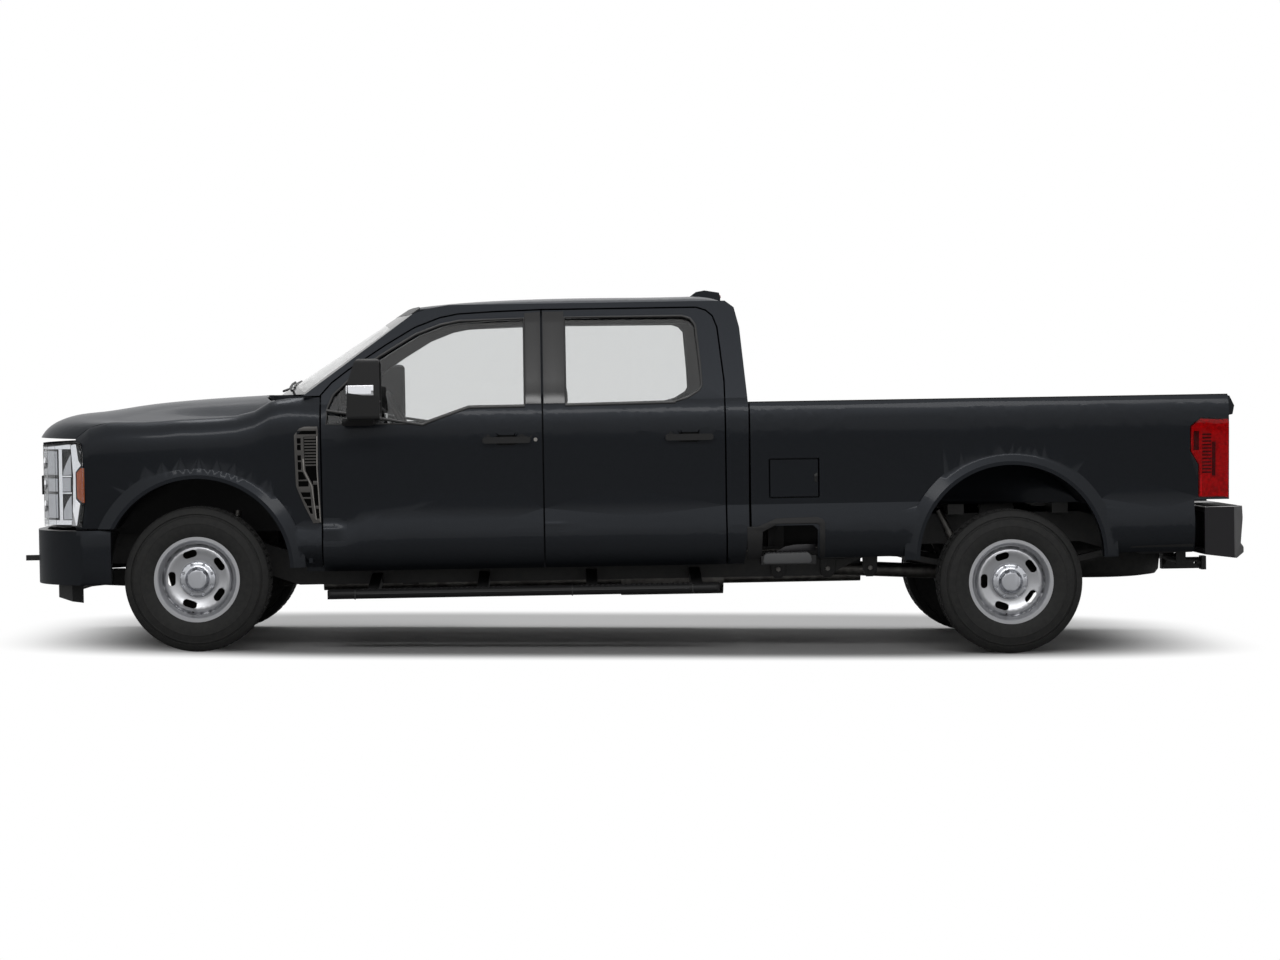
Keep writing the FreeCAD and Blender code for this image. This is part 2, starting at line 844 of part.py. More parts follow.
def cab_back():
    # Back wall between the body's sides, up to the roof, with its window cut.
    top_z = roof_peak_z
    outline = [(cab_wall_half, cab_floor_z), (cab_wall_half, belt_z - skin),
               (greenhouse_half(belt_z, cab_frame_depth), belt_z), (greenhouse_half(top_z, cab_frame_depth), top_z)]
    outline = outline + [(-y, z) for y, z in outline[::-1]]
    room = end_prism(outline, rear_seat_x, cab_back_x)
    wall = back_sheet(back_wall_inset, back_wall_plate).common(room)
    middle_z = (belt_z + back_window_top_z) / 2.0
    hole = [(y * window_hold_share, between(middle_z, z, window_hold_share)) for y, z in back_window_outline()]
    wall = wall.cut(end_prism(hole, rear_seat_x, cab_back_x, skin)).cut(back_window()).cut(roof())
    return min(wall.Solids, key=lambda solid: solid.BoundBox.ZMin)


def hood_arms():
    # Hinge arms that hang from the cowl and carry the hood's pins.
    arms = []
    low_z = hood_pin_z - hood_lug * 2.2
    riser_x = cowl_foot_x + hood_arm * 0.5
    for side in (-1.0, 1.0):
        y = side * hood_pin_half
        low_y = min(y, y + side * hood_arm)
        high_y = low_y + hood_arm
        arm = block(hood_pin_x - hood_lug, riser_x + hood_arm, low_y, high_y, low_z, hood_pin_z - hood_lug)
        riser = block(riser_x, riser_x + hood_arm, low_y, high_y, low_z, windshield_low_z - cowl_deck * 0.5)
        eye = block(hood_pin_x - hood_lug, hood_pin_x + hood_lug * 0.6, low_y, high_y, hood_pin_z - hood_lug * 1.4,
                    hood_pin_z + hood_pin_radius * 0.5)
        pin = cross_rod(hood_pin_x, y - side * hood_arm, y + side * hood_arm, hood_pin_z, hood_pin_radius)
        arms.append(fused([arm, riser, eye, pin]))
    return arms


def tunnel(radius):
    # Half round cover over the gearbox, between the footwells.
    start = point(cab_front_x, 0, shaft_front_z)
    return Part.makeCylinder(radius, tunnel_end_x - cab_front_x + radius - tunnel_radius, start, point(1, 0, 0))


def cab():
    # The left body side: pillars, sill, roof rail and the arms of the door hinges.
    side = cab_side().cut(windshield_front()).cut(roof())
    return fused([side] + hinge_arms("front") + hinge_arms("rear"))


def cab_floor():
    # Floor pan with the gearbox tunnel, firewall and cowl, welded between the body's sides.
    low_z = cab_floor_z - floor_plate
    back_x = cab_front_x + firewall_plate
    floor = block(cab_front_x, cab_back_x - back_wall_inset, -cab_wall_half, cab_wall_half, low_z, cab_floor_z)
    deck_z = windshield_low_z - cowl_deck
    firewall = block(cab_front_x, back_x, -cab_wall_half, cab_wall_half, low_z, deck_z)
    cowl = side_prism([(cowl_front_x, windshield_low_z), (back_x, windshield_low_z), (back_x, deck_z),
                       (cowl_foot_x, deck_z)], -cowl_half, cowl_half)
    wing = block(cowl_wing_x, back_x, -cowl_wing_half, -cowl_half, deck_z, cab_foot_z).cut(cab())
    cover = tunnel(tunnel_radius + skin).cut(block(cab_front_x, cab_back_x, -cab_wall_half, cab_wall_half, 0, low_z))
    shell = fused(both_sides(wing) + [floor, firewall, cowl, cover]).cut(tunnel(tunnel_radius))
    return fused([shell.cut(windshield_front())] + hood_arms())


roof_station_shares = ((0.0, 1.0), (0.1, 0.5), (0.2, 0.25), (0.36, 0.07), (0.6, 0.0), (0.88, 0.01), (0.96, 0.12),
                       (1.0, 0.48))
roof_crown_shares = ((1.0, 0.0), (0.96, 0.28), (0.86, 0.52), (0.5, 0.86), (0.0, 1.0))


fairing_shares = ((0.0, -0.3), (0.26, 0.75), (0.52, 1.0), (0.96, 0.6), (1.0, -0.2), (1.0, -1.4))


def roof():
    # A crowned panel, lofted over stations from the windshield's header to the back.
    x_low = windshield_top_x - overrun
    x_high = roof_back_x
    wires = []
    for along, fall in roof_station_shares:
        x = between(x_low, x_high, along)
        top = between(roof_peak_z, roof_header_z, fall)
        edge = min(greenhouse_top_z - skin * fall * 2.0, top - roof_sheet * 0.4)
        right = [point(x, roof_seam_half * half, between(edge, top, rise)) for half, rise in roof_crown_shares]
        left = [point(p.x, -p.y, p.z) for p in right[:-1]]
        crown = left + right[::-1]
        under = [point(p.x, p.y, p.z - roof_sheet) for p in crown]
        wires.append(Part.Wire([spline(crown), Part.makeLine(crown[-1], under[-1]), spline(under[::-1]),
                                Part.makeLine(under[0], crown[0])]))
    panel = Part.makeLoft(wires, True)
    # A low fairing on the rear edge holds the high lamp.
    outline = placed(fairing_shares, x_high - fairing_length, x_high, roof_peak_z, roof_peak_z + fairing_rise)
    return fused([panel.cut(windshield_front()), side_prism(outline, -fairing_half, fairing_half)])


hood_middle_shares = ((0.0, 0.0), (0.04, 0.3), (0.109, 0.521), (0.246, 0.636), (0.417, 0.774),
                      (0.597, 0.88), (0.843, 0.963), (1.0, 1.0))
hood_edge_shares = ((0.0, 0.0), (0.079, 0.335), (0.3, 0.47), (0.598, 0.545), (0.8, 0.59), (0.872, 0.65),
                    (0.931, 0.76), (1.0, 1.0))
hood_station_shares = ((0.0, 0.0, 0.0), (0.35, 0.03, 0.04), (0.62, 0.13, 0.18), (0.82, 0.42, 0.5),
                       (0.93, 0.72, 0.8), (1.0, 1.0, 1.0))


def hood_profile(sweep, fall, sink=0.0):
    # One long curve from nose to rear edge, blended between the middle's and the edge's.
    nose = between(hood_nose_x, hood_corner_x, sweep) + sink
    rear = between(hood_rear_x, hood_corner_rear_x, fall)
    low = between(hood_nose_z, hood_corner_z, fall)
    high = between(hood_rear_z, hood_corner_rear_z, fall) - sink
    shares = []
    for middle, edge in zip(hood_middle_shares, hood_edge_shares):
        shares.append((between(middle[0], edge[0], fall), between(middle[1], edge[1], fall)))
    return placed(shares, nose, rear, low, high)


def hood_lugs():
    lugs = []
    for side in (-1.0, 1.0):
        y = side * (hood_pin_half - hood_arm * 0.9)
        low_y = min(y, y + side * hood_arm * 0.8)
        lugs.append(block(hood_pin_x - hood_lug, hood_pin_x + hood_lug, low_y, low_y + hood_arm * 0.8,
                          hood_pin_z - hood_lug, hood_rear_z - hood_sheet * 1.5))
    return lugs


def hood():
    wires = []
    order = [(-1.0, s) for s in hood_station_shares[:0:-1]] + [(1.0, s) for s in hood_station_shares]
    for side, (half, sweep, fall) in order:
        y = side * half * hood_edge_half
        outer = [point(x, y, z) for x, z in hood_profile(sweep, fall)]
        inner = [point(x, y, z) for x, z in hood_profile(sweep, fall, hood_sheet)]
        wires.append(Part.Wire([spline(outer), Part.makeLine(outer[-1], inner[-1]), spline(inner[::-1]),
                                Part.makeLine(inner[0], outer[0])]))
    panel = Part.makeLoft(wires, True)
    bore = cross_rod(hood_pin_x, -side_half_width, side_half_width, hood_pin_z, hood_pin_radius + running_gap)
    lugs = [lug.cut(bore) for lug in hood_lugs()]
    return fused([panel] + lugs)


fender_nose_share = 0.055
fender_low_shares = ((0.938, 0.0), (0.975, 0.053), (0.996, 0.106), (0.994, 0.16), (0.977, 0.249))
fender_high_shares = ((0.977, 0.249), (0.982, 0.38), (0.994, 0.6), (1.0, 0.78), (0.99, 0.9), (0.96, 0.965))
fender_station_count = 12


def fender_stations():
    # Place, taper, and height and half width of the top edge, which runs along the hood.
    edge = spline([point(x, 0, z) for x, z in hood_profile(1.0, 1.0)])
    stations = []
    for spot in edge.discretize(fender_station_count):
        nose = max(0.0, (front_arch_x - spot.x) / (front_arch_x - hood_corner_x))
        stations.append((spot.x, 1.0 - fender_nose_share * nose * nose, spot.z, fender_edge_half))
    end_x = front_door_x - panel_gap
    for along, rise, out in ((0.15, 0.5, 0.15), (0.45, 0.9, 0.45), (1.0, 1.0, 1.0)):
        stations.append((between(hood_corner_rear_x, end_x, along), 1.0,
                         between(hood_corner_rear_z, cab_foot_z - panel_gap, rise),
                         between(fender_edge_half, fender_foot_half, out)))
    return stations


def fender_curves(station, inset):
    # The section's two curves, under and over the crease.
    x, taper, top, top_half = station
    curves = []
    for shares in (fender_low_shares, fender_high_shares):
        curves.append([point(x, -(side_half_width * half * taper - inset), between(fender_low_z, top - inset, height))
                       for half, height in shares])
    curves[1].append(point(x, -min(top_half, side_half_width * taper * 0.955), top - inset))
    return curves


def flare(x, inner_half):
    # Raised lip round a wheel arch, revolved about the arch's axis on the left side.
    profile = [(arch_radius, -inner_half), (arch_radius, -flare_half), (arch_radius + flare_lip, -flare_half),
               (flare_radius, -side_half_width * 0.985), (flare_radius, -side_half_width * 0.965),
               (arch_radius + 2.0 * flare_lip, -inner_half)]
    ring = turned_about_y(profile)
    ring.translate(point(x, 0, arch_z))
    return ring


def arch_room(x, radius, low_half=0.0):
    return Part.makeCylinder(radius, 2.0 * side_half_width - low_half, point(x, -2.0 * side_half_width, arch_z),
                             point(0, 1, 0))


def lamp_outline(gap=0.0):
    # Headlamp seen from the side.
    return [(grille_face_x - gap, lamp_low_z - gap), (lamp_back_x - lamp_foot_slope + gap, lamp_low_z - gap),
            (lamp_back_x + gap, lamp_low_z + lamp_foot_cut), (lamp_back_x + gap, lamp_top_z - lamp_brow),
            (lamp_back_x - lamp_brow_cut + gap, lamp_top_z - lamp_brow_cut),
            (lamp_back_x - lamp_brow_slope, lamp_top_z + gap),
            (grille_face_x - gap, lamp_top_z - lamp_front_drop + gap)]


def fender():
    wires = []
    for station in fender_stations():
        low, high = fender_curves(station, 0.0)
        low_in, high_in = fender_curves(station, skin)
        wires.append(Part.Wire([spline(low), spline(high), Part.makeLine(high[-1], high_in[-1]),
                                spline(high_in[::-1]), spline(low_in[::-1]), Part.makeLine(low_in[0], low[0])]))
    shell = Part.makeLoft(wires, True, True)
    shell = shell.fuse(flare(front_arch_x, flare_inner_half))
    trim = block(hood_corner_x - overrun, front_door_x - panel_gap, -2.0 * side_half_width, 0, fender_low_z,
                 2.0 * roof_peak_z)
    shell = shell.common(trim).cut(arch_room(front_arch_x, arch_radius))
    shell = shell.cut(through(lamp_outline(panel_gap * 0.5)))
    shell = shell.cut(block(hood_nose_x, front_arch_x, -2.0 * side_half_width, 0, 0, bumper_top_z + panel_gap))
    inner_half = door_inner_half - seal_gap
    flange = block(cab_front_x + fender_flange, cab_front_x + 2.0 * fender_flange, -side_half_width * 0.975,
                   -inner_half, fender_low_z + skin, belt_z - skin)
    return fused([shell, flange])


def wheel_liner():
    outer_radius = arch_radius + liner_depth
    depth = flare_inner_half - liner_inner_half
    start = point(front_arch_x, -flare_inner_half, arch_z)
    shell = Part.makeCylinder(outer_radius, depth, start, point(0, 1, 0))
    room = Part.makeCylinder(outer_radius - liner_wall, depth - liner_wall, start, point(0, 1, 0))
    below = block(front_arch_x - 2.0 * arch_radius, front_arch_x + 2.0 * arch_radius, -side_half_width, 0,
                  -arch_radius, liner_foot_z)
    rail_room = block(front_arch_x - 2.0 * arch_radius, front_arch_x + 2.0 * arch_radius, -side_half_width, 0,
                      -arch_radius, rail_z + rail_front_rise + rail_depth)
    shell = shell.cut(room).cut(below)
    inner_wall = shell.common(block(-wheelbase, wheelbase, -liner_inner_half - liner_wall, 0, 0, 2.0 * belt_z))
    return shell.cut(inner_wall.common(rail_room)).cut(fender()).cut(front_bumper())


def grille_front(depth):
    # The grille's face is bowed in plan: its ends lie behind its middle.
    reach = grille_half
    low = grille_low_z - overrun
    face = Part.Arc(point(grille_face_x + grille_bow, -reach, low), point(grille_face_x, 0, low),
                    point(grille_face_x + grille_bow, reach, low)).toShape()
    back_x = grille_face_x + grille_bow + depth
    lines = Part.makePolygon([point(grille_face_x + grille_bow, reach, low), point(back_x, reach, low),
                              point(back_x, -reach, low), point(grille_face_x + grille_bow, -reach, low)])
    slab = Part.Face(Part.Wire([face] + lines.Edges))
    return slab.extrude(point(0, 0, grille_top_z - grille_low_z + 2.0 * overrun))


def grille():
    # A bowed frame with a bulging middle bar, and thin slats in the openings over and under it.
    across = block(-wheelbase, 0, -grille_half, grille_half, grille_low_z, grille_top_z)
    slab = grille_front(grille_depth).common(across)
    half = grille_middle_height / 2.0
    window_half = grille_half - grille_bar
    slats = []
    rows = ((grille_low_z + grille_bar, grille_middle_z - half),
            (grille_middle_z + half, grille_top_z - grille_bar))
    for low, high in rows:
        for side in (-1.0, 1.0):
            hole = [(side * grille_bar, low), (side * window_half, low), (side * window_half, high),
                    (side * grille_bar, high)]
            slab = slab.cut(end_prism(hole, grille_face_x - overrun, grille_face_x + grille_depth + 2.0 * overrun,
                                      grille_bar * 0.4))
        for number in range(grille_slat_count):
            z = between(low, high, (number + 1.0) / (grille_slat_count + 1.0)) - grille_slat / 2.0
            slats.append(block(-wheelbase, 0, -grille_half, grille_half, z, z + grille_slat))
    thin = grille_front(grille_depth / 2.0)
    thin.translate(point(grille_depth / 4.0, 0, 0))
    pieces = [slab] + [thin.common(slat) for slat in slats]
    bulge = grille_front(grille_depth)
    bulge.translate(point(-grille_middle_reach, 0, 0))
    pieces.append(bulge.common(block(-wheelbase, 0, -window_half, window_half, grille_middle_z - half,
                                     grille_middle_z + half)))
    return fused(pieces)


lamp_plan_shares = ((0.0, 0.0), (0.06, 0.3), (0.2, 0.56), (0.4, 0.78), (0.7, 0.93), (1.0, 1.0))

def headlamp():
    inner = grille_half
    front_x = grille_face_x + grille_bow
    plan = [(between(front_x, lamp_back_x, a), -between(inner, lamp_half, b)) for a, b in lamp_plan_shares]
    plan = plan + [(lamp_back_x, -inner)]
    return through(lamp_outline()).common(plan_prism(plan, lamp_low_z - overrun, lamp_top_z + overrun))


def core_support():
    # Frame round the radiator that carries grille and headlamps.
    x_high = support_x + support_depth
    half = grille_half
    low = rail_z + rail_front_rise + rail_depth
    pieces = [block(support_x, x_high, -half, half, support_top_z - support_post, support_top_z),
              block(support_x, x_high, -half, half, low, low + support_post)]
    for side in (-1.0, 1.0):
        edge = side * half
        inner = side * (half - support_post)
        pieces.append(block(support_x, x_high, min(edge, inner), max(edge, inner), low, support_top_z))
        arm = side * (half * 0.5)
        back = grille_face_x + grille_bow + grille_depth
        for z in (support_top_z - support_post, grille_low_z):
            pieces.append(block(back, x_high, min(arm, arm + side * support_post),
                                max(arm, arm + side * support_post), z, z + support_post))
        post = side * (half * 0.5)
        pieces.append(block(support_x, x_high, min(post, post + side * support_post),
                            max(post, post + side * support_post), low, support_top_z))
    return fused(pieces)


def radiator():
    low = rail_z + rail_front_rise + rail_depth + support_post
    half = grille_half * 0.5
    return block(support_x, support_x + support_depth, -half, half, low, support_top_z - support_post)


bumper_plan_shares = ((0.0, 0.0), (0.42, 0.08), (0.68, 0.22), (0.84, 0.46), (0.94, 0.74), (1.0, 1.0))
bumper_face_shares = ((0.0, 0.42), (0.06, 0.14), (0.32, 0.0), (0.7, 0.02), (0.9, 0.1), (1.0, 0.34))


def bumper_plan(inset):
    # Outer edge in plan, rounding back from the nose to the corner.
    right = []
    for out, back in bumper_plan_shares:
        right.append((between(-front_overhang, bumper_corner_x, back) + inset, (bumper_half - inset) * out))
    left = [(x, -y) for x, y in right[:0:-1]]
    end_x = bumper_end_front_x + (overrun if inset else 0.0)
    half = bumper_half - inset
    return [(end_x, -half)] + left + right + [(end_x, half)]


def bumper_room(inset):
    points = bumper_plan(inset)
    outer = spline([point(x, y, bumper_low_z - inset) for x, y in points[1:-1]])
    ends = Part.makePolygon([outer.Vertexes[-1].Point, point(points[-1][0], points[-1][1], bumper_low_z - inset),
                             point(points[0][0], points[0][1], bumper_low_z - inset), outer.Vertexes[0].Point])
    slab = Part.Face(Part.Wire([outer] + ends.Edges))
    return slab.extrude(point(0, 0, bumper_top_z - bumper_low_z + 2.0 * inset))


def front_bumper():
    shell = bumper_room(0.0)
    tray = shell.common(block(-front_overhang, front_rail_x + overrun, -bumper_half, bumper_half, bumper_low_z,
                              bumper_low_z + air_dam_sheet))
    shell = shell.cut(bumper_room(bumper_shell)).fuse(tray)
    deep = bumper_end_front_x + overrun
    face = [(-front_overhang + bumper_shell * 2.0 * back, between(bumper_low_z, bumper_top_z, rise))
            for rise, back in bumper_face_shares]
    face = face + [(deep, bumper_top_z), (deep, bumper_low_z)]
    ends = [(-bumper_half + bumper_shell * 0.8 * back, between(bumper_low_z, bumper_top_z, rise))
            for rise, back in bumper_face_shares]
    ends = ends + [(-y, z) for y, z in ends[::-1]]
    shell = shell.common(side_prism(face, -side_half_width, side_half_width))
    shell = shell.common(end_prism(ends, -wheelbase, 0))
    for side in (-1.0, 1.0):
        y = side * hook_half
        slot = hook_bar + panel_gap
        shell = shell.cut(block(-front_overhang - overrun, front_rail_x + overrun, y - slot, y + slot,
                                hook_z - slot, hook_z + slot))
    return shell


air_dam_shares = ((0.0, 0.0), (0.5, 0.04), (0.8, 0.2), (1.0, 0.6))
air_dam_inner_share = 0.98
air_dam_front_share = 2.6


def air_dam():
    front_x = -front_overhang + bumper_shell * air_dam_front_share
    right = [(between(front_x, bumper_corner_x, back), air_dam_half * out) for out, back in air_dam_shares]
    outer = [(x, -y) for x, y in right[:0:-1]] + right
    inner = [(x + overrun, y * air_dam_inner_share) for x, y in outer[::-1]]
    skirt = plan_prism(outer + inner, air_dam_low_z, bumper_low_z)
    slope = [(front_x - overrun, air_dam_low_z + air_dam_rise), (bumper_corner_x, air_dam_low_z),
             (bumper_corner_x, bumper_low_z), (front_x - overrun, bumper_low_z)]
    return skirt.common(side_prism(slope, -side_half_width, side_half_width))


def bed_wall():
    return side_wall(bed_front_x, bed_corner_x, bed_inner_half, door_frame_depth)


# The lamp's outline: shares of the way from its front edge to the body's rear edge, and of its height.
tail_lamp_shares = ((0.21, 0.0), (1.0, 0.0), (1.0, 0.973), (0.276, 1.0), (0.0, 0.892), (0.0, 0.58), (0.21, 0.41))


def tail_lamp_outline():
    return placed(tail_lamp_shares, bed_skirt_x - skin, bed_corner_x, bed_corner_low_z + panel_gap,
                  bed_rail_z - 2.0 * overrun)


def tail_lamp():
    wall = side_wall(bed_front_x, bed_corner_x, lamp_inner_half, door_frame_depth)
    return wall.common(through(tail_lamp_outline()))


def fuel_outline(gap=0.0):
    return [(fuel_door_x - gap, fuel_door_z - gap), (fuel_door_x + fuel_door_length + gap, fuel_door_z - gap),
            (fuel_door_x + fuel_door_length + gap, fuel_door_z + fuel_door_height + gap),
            (fuel_door_x - gap, fuel_door_z + fuel_door_height + gap)]


def fuel_pin(radius, low_z, high_z):
    return Part.makeCylinder(radius, high_z - low_z, point(fuel_door_x + fuel_pin_inset, -fuel_pin_half, low_z))


def fuel_door():
    skin_part = bed_wall().cut(side_wall(bed_front_x, bed_corner_x, cab_wall_half, 2.0 * door_frame_depth,
                                         fuel_door_sheet))
    flap = skin_part.common(through(fuel_outline()))
    middle = fuel_door_z + fuel_door_height / 2.0
    reach = fuel_door_height / 6.0
    knuckle = Part.makeCylinder(fuel_pin_radius * 3.2, 2.0 * reach,
                                point(fuel_door_x + fuel_pin_inset, -fuel_pin_half, middle - reach))
    knuckle = knuckle.fuse(block(fuel_door_x + fuel_pin_inset - fuel_pin_radius * 2.0,
                                 fuel_door_x + fuel_pin_inset + fuel_pin_radius * 2.0,
                                 -fuel_pin_half - fuel_door_sheet * 1.4, -fuel_pin_half, middle - reach, middle + reach))
    bore = fuel_pin(fuel_pin_radius + running_gap, fuel_door_z, fuel_door_z + fuel_door_height)
    return fused([flap, knuckle.cut(bore)])


def fuel_recess():
    return side_prism(fuel_outline(fuel_door_gap), -2.0 * side_half_width, -side_half_width + fuel_pocket,
                      fuel_door_gap)


def bed_step_outline(gap=0.0):
    # Notch in the bed side, behind the cab, for the side step.
    end_x = bed_step_x + bed_step_length
    return [(bed_step_x - gap, 0.0), (bed_step_x - gap, bed_step_top_z - skin + gap),
            (bed_step_x + skin * 2.0, bed_step_top_z + gap), (end_x - skin, bed_step_top_z + gap),
            (end_x + gap, bed_step_top_z - skin + gap), (end_x + gap, 0.0)]


def bed_side(left):
    outline = [(bed_front_x, bed_skirt_low_z), (bed_skirt_x, bed_skirt_low_z - bed_skirt_drop),
               (bed_skirt_x, bed_corner_low_z), (bed_corner_x, bed_corner_low_z), (bed_corner_x, bed_rail_z),
               (bed_front_x, bed_rail_z)]
    wall = bed_wall().common(through(outline))
    wall = wall.cut(block(bed_front_x - overrun, bed_corner_x + overrun, -side_half_width + bed_skirt, 0,
                          sill_z - overrun, bed_floor_z - bed_plate))
    wall = wall.fuse(flare(rear_axle_x, side_half_width - bed_skirt))
    wall = wall.common(through(outline))
    wall = wall.cut(arch_room(rear_axle_x, arch_radius)).cut(through(bed_step_outline()))
    wall = wall.cut(tail_lamp())
    pin_x = bed_corner_x - tailgate_depth / 2.0
    pin = cross_rod(pin_x, -lamp_inner_half, -bed_inner_half + tailgate_pin_reach, tailgate_pin_z,
                    tailgate_pin_radius)
    if left:
        wall = wall.cut(fuel_recess())
        pin_low = fuel_door_z - fuel_door_gap - skin
        pin_high = fuel_door_z + fuel_door_height + fuel_door_gap + skin
        wall = wall.fuse(fuel_pin(fuel_pin_radius, pin_low, pin_high))
    return fused([wall, pin])


def bed_floor():
    end_x = bed_corner_x - tailgate_depth - tailgate_floor_gap
    low = bed_floor_z - bed_plate
    floor = block(bed_front_x, end_x, -bed_inner_half, bed_inner_half, low, bed_floor_z)
    count = int(2.0 * wheelhouse_half / bed_rib_pitch) - 1
    for number in range(count):
        y = (number - (count - 1) / 2.0) * bed_rib_pitch
        half = (bed_rib_pitch - bed_rib_width) / 2.0
        floor = floor.cut(block(bed_front_x + headboard + skin, end_x - skin, y - half, y + half,
                                bed_floor_z - bed_rib_depth, bed_floor_z))
    wall = block(bed_front_x, bed_front_x + headboard, -bed_inner_half, bed_inner_half, low, bed_rail_z)
    whole = floor.fuse(wall)
    for side in (-1.0, 1.0):
        inner = side * wheelhouse_half
        outer = side * bed_inner_half
        low_y = min(inner, outer)
        span = abs(outer - inner)
        bump = Part.makeCylinder(arch_radius + wheelhouse_wall, span, point(rear_axle_x, low_y, arch_z),
                                 point(0, 1, 0))
        bump = bump.cut(block(rear_axle_x - 2.0 * arch_radius, rear_axle_x + 2.0 * arch_radius, low_y, low_y + span,
                              -arch_radius, low))
        start = low_y + (wheelhouse_wall if side > 0 else 0.0)
        room = Part.makeCylinder(arch_radius, span - wheelhouse_wall, point(rear_axle_x, start, arch_z),
                                 point(0, 1, 0))
        whole = whole.fuse(bump).cut(room)
    return whole


bed_beam_shares = (0.05, 0.35, 0.46, 0.7, 0.93)


def bed_beams():
    # Cross sills between the chassis rails' top and the bed's floor, on posts where the rails lie low.
    top = bed_floor_z - bed_plate
    low = rail_z + rail_rear_rise + rail_depth
    beams = []
    for share in bed_beam_shares:
        x = between(bed_front_x, bed_skirt_x, share)
        pieces = [block(x, x + cross_width, -wheelhouse_half, wheelhouse_half, low, top)]
        if max(rail_top(x), rail_top(x + cross_width)) < low:
            for side in (-1.0, 1.0):
                y = side * rail_half
                pieces.append(block(x, x + cross_width, y - rail_width / 2.0, y + rail_width / 2.0,
                                    max(rail_top(x), rail_top(x + cross_width)), low))
        beams.append(fused(pieces))
    return beams


def tailgate():
    half = bed_inner_half - tailgate_gap
    x_low = bed_corner_x - tailgate_depth
    lip_low = bed_rail_z - 2.0 * overrun
    outline = [(x_low, tailgate_low_z), (bed_corner_x, tailgate_low_z), (bed_corner_x, lip_low),
               (bed_corner_x + tailgate_lip * 0.85, lip_low + skin * 0.5),
               (bed_corner_x + tailgate_lip, bed_rail_z - 2.5 * skin),
               (bed_corner_x + tailgate_lip * 0.6, bed_rail_z - 0.2 * skin), (x_low, bed_rail_z)]
    gate = side_prism(outline, -half, half)
    bore = tailgate_pin_radius + running_gap
    pin_x = bed_corner_x - tailgate_depth / 2.0
    for side in (-1.0, 1.0):
        edge = side * (half + overrun)
        inner = side * (bed_inner_half - tailgate_pin_reach - panel_gap)
        gate = gate.cut(cross_rod(pin_x, min(edge, inner), max(edge, inner), tailgate_pin_z, bore))
    press_half = min(tailgate_press_half, half - overrun)
    handle_low = lip_low - tailgate_handle_height - skin
    press = [(-press_half, tailgate_low_z + overrun), (press_half, tailgate_low_z + overrun),
             (press_half, handle_low - skin), (-press_half, handle_low - skin)]
    gate = gate.cut(end_prism(press, bed_corner_x - tailgate_press_depth, bed_corner_x + overrun, skin))
    grip = [(-tailgate_handle_half, handle_low), (tailgate_handle_half, handle_low),
            (tailgate_handle_half, handle_low + tailgate_handle_height),
            (-tailgate_handle_half, handle_low + tailgate_handle_height)]
    return gate.cut(end_prism(grip, bed_corner_x - tailgate_handle_depth, bed_corner_x + skin, skin * 0.5))


rear_bumper_shares = ((0.0, 1.0), (0.96, 1.0), (0.98, 0.76), (0.9, 0.28), (1.0, 0.195), (1.0, 0.093), (0.752, 0.0),
                      (0.0, 0.084))


def rear_bumper():
    # A stepped channel with tapered corners, open at the front but for the seats of the chassis rails.
    outline = placed(rear_bumper_shares, rear_bumper_x, bumper_end_x, rear_bumper_low_z, rear_bumper_top_z)
    whole = side_prism(outline, -rear_bumper_half, rear_bumper_half)
    plan = [(rear_bumper_x, rear_bumper_half), (bumper_end_x - bumper_corner_slope, rear_bumper_half),
            (bumper_end_x, rear_bumper_half - bumper_corner_cut)]
    plan = plan + [(x, -y) for x, y in plan[::-1]]
    whole = whole.common(plan_prism(plan, rear_bumper_low_z, rear_bumper_top_z))
    room = grown(outline, -bumper_wall)
    seat = bumper_mount_width / 2.0
    for y_low, y_high in ((-rail_half + seat, rail_half - seat), (rail_half + seat, rear_bumper_half - bumper_wall),
                          (-rear_bumper_half + bumper_wall, -rail_half - seat)):
        low_z = rear_bumper_low_z + bumper_wall + skin
        high_z = rear_bumper_top_z - bumper_wall
        mouth = block(rear_bumper_x - overrun, rear_bumper_x + 2.0 * bumper_wall, y_low, y_high, low_z, high_z)
        deep = block(rear_bumper_x - overrun, bumper_end_x - bumper_corner_slope - bumper_wall, y_low, y_high,
                     low_z, high_z)
        whole = whole.cut(side_prism(room, y_low, y_high).fuse(mouth).common(deep))
    # Step pads sunk into the top, one over each half.
    for side in (-1.0, 1.0):
        y_low, y_high = sorted((side * step_pad_half, side * (rear_bumper_half - bumper_corner_cut)))
        pad = [(rear_bumper_x + bumper_wall, y_low), (bumper_end_x - bumper_wall, y_low),
               (bumper_end_x - bumper_wall, y_high), (rear_bumper_x + bumper_wall, y_high)]
        whole = whole.cut(plan_prism(pad, rear_bumper_top_z - step_pad_depth, rear_bumper_top_z + overrun, skin))
    return whole


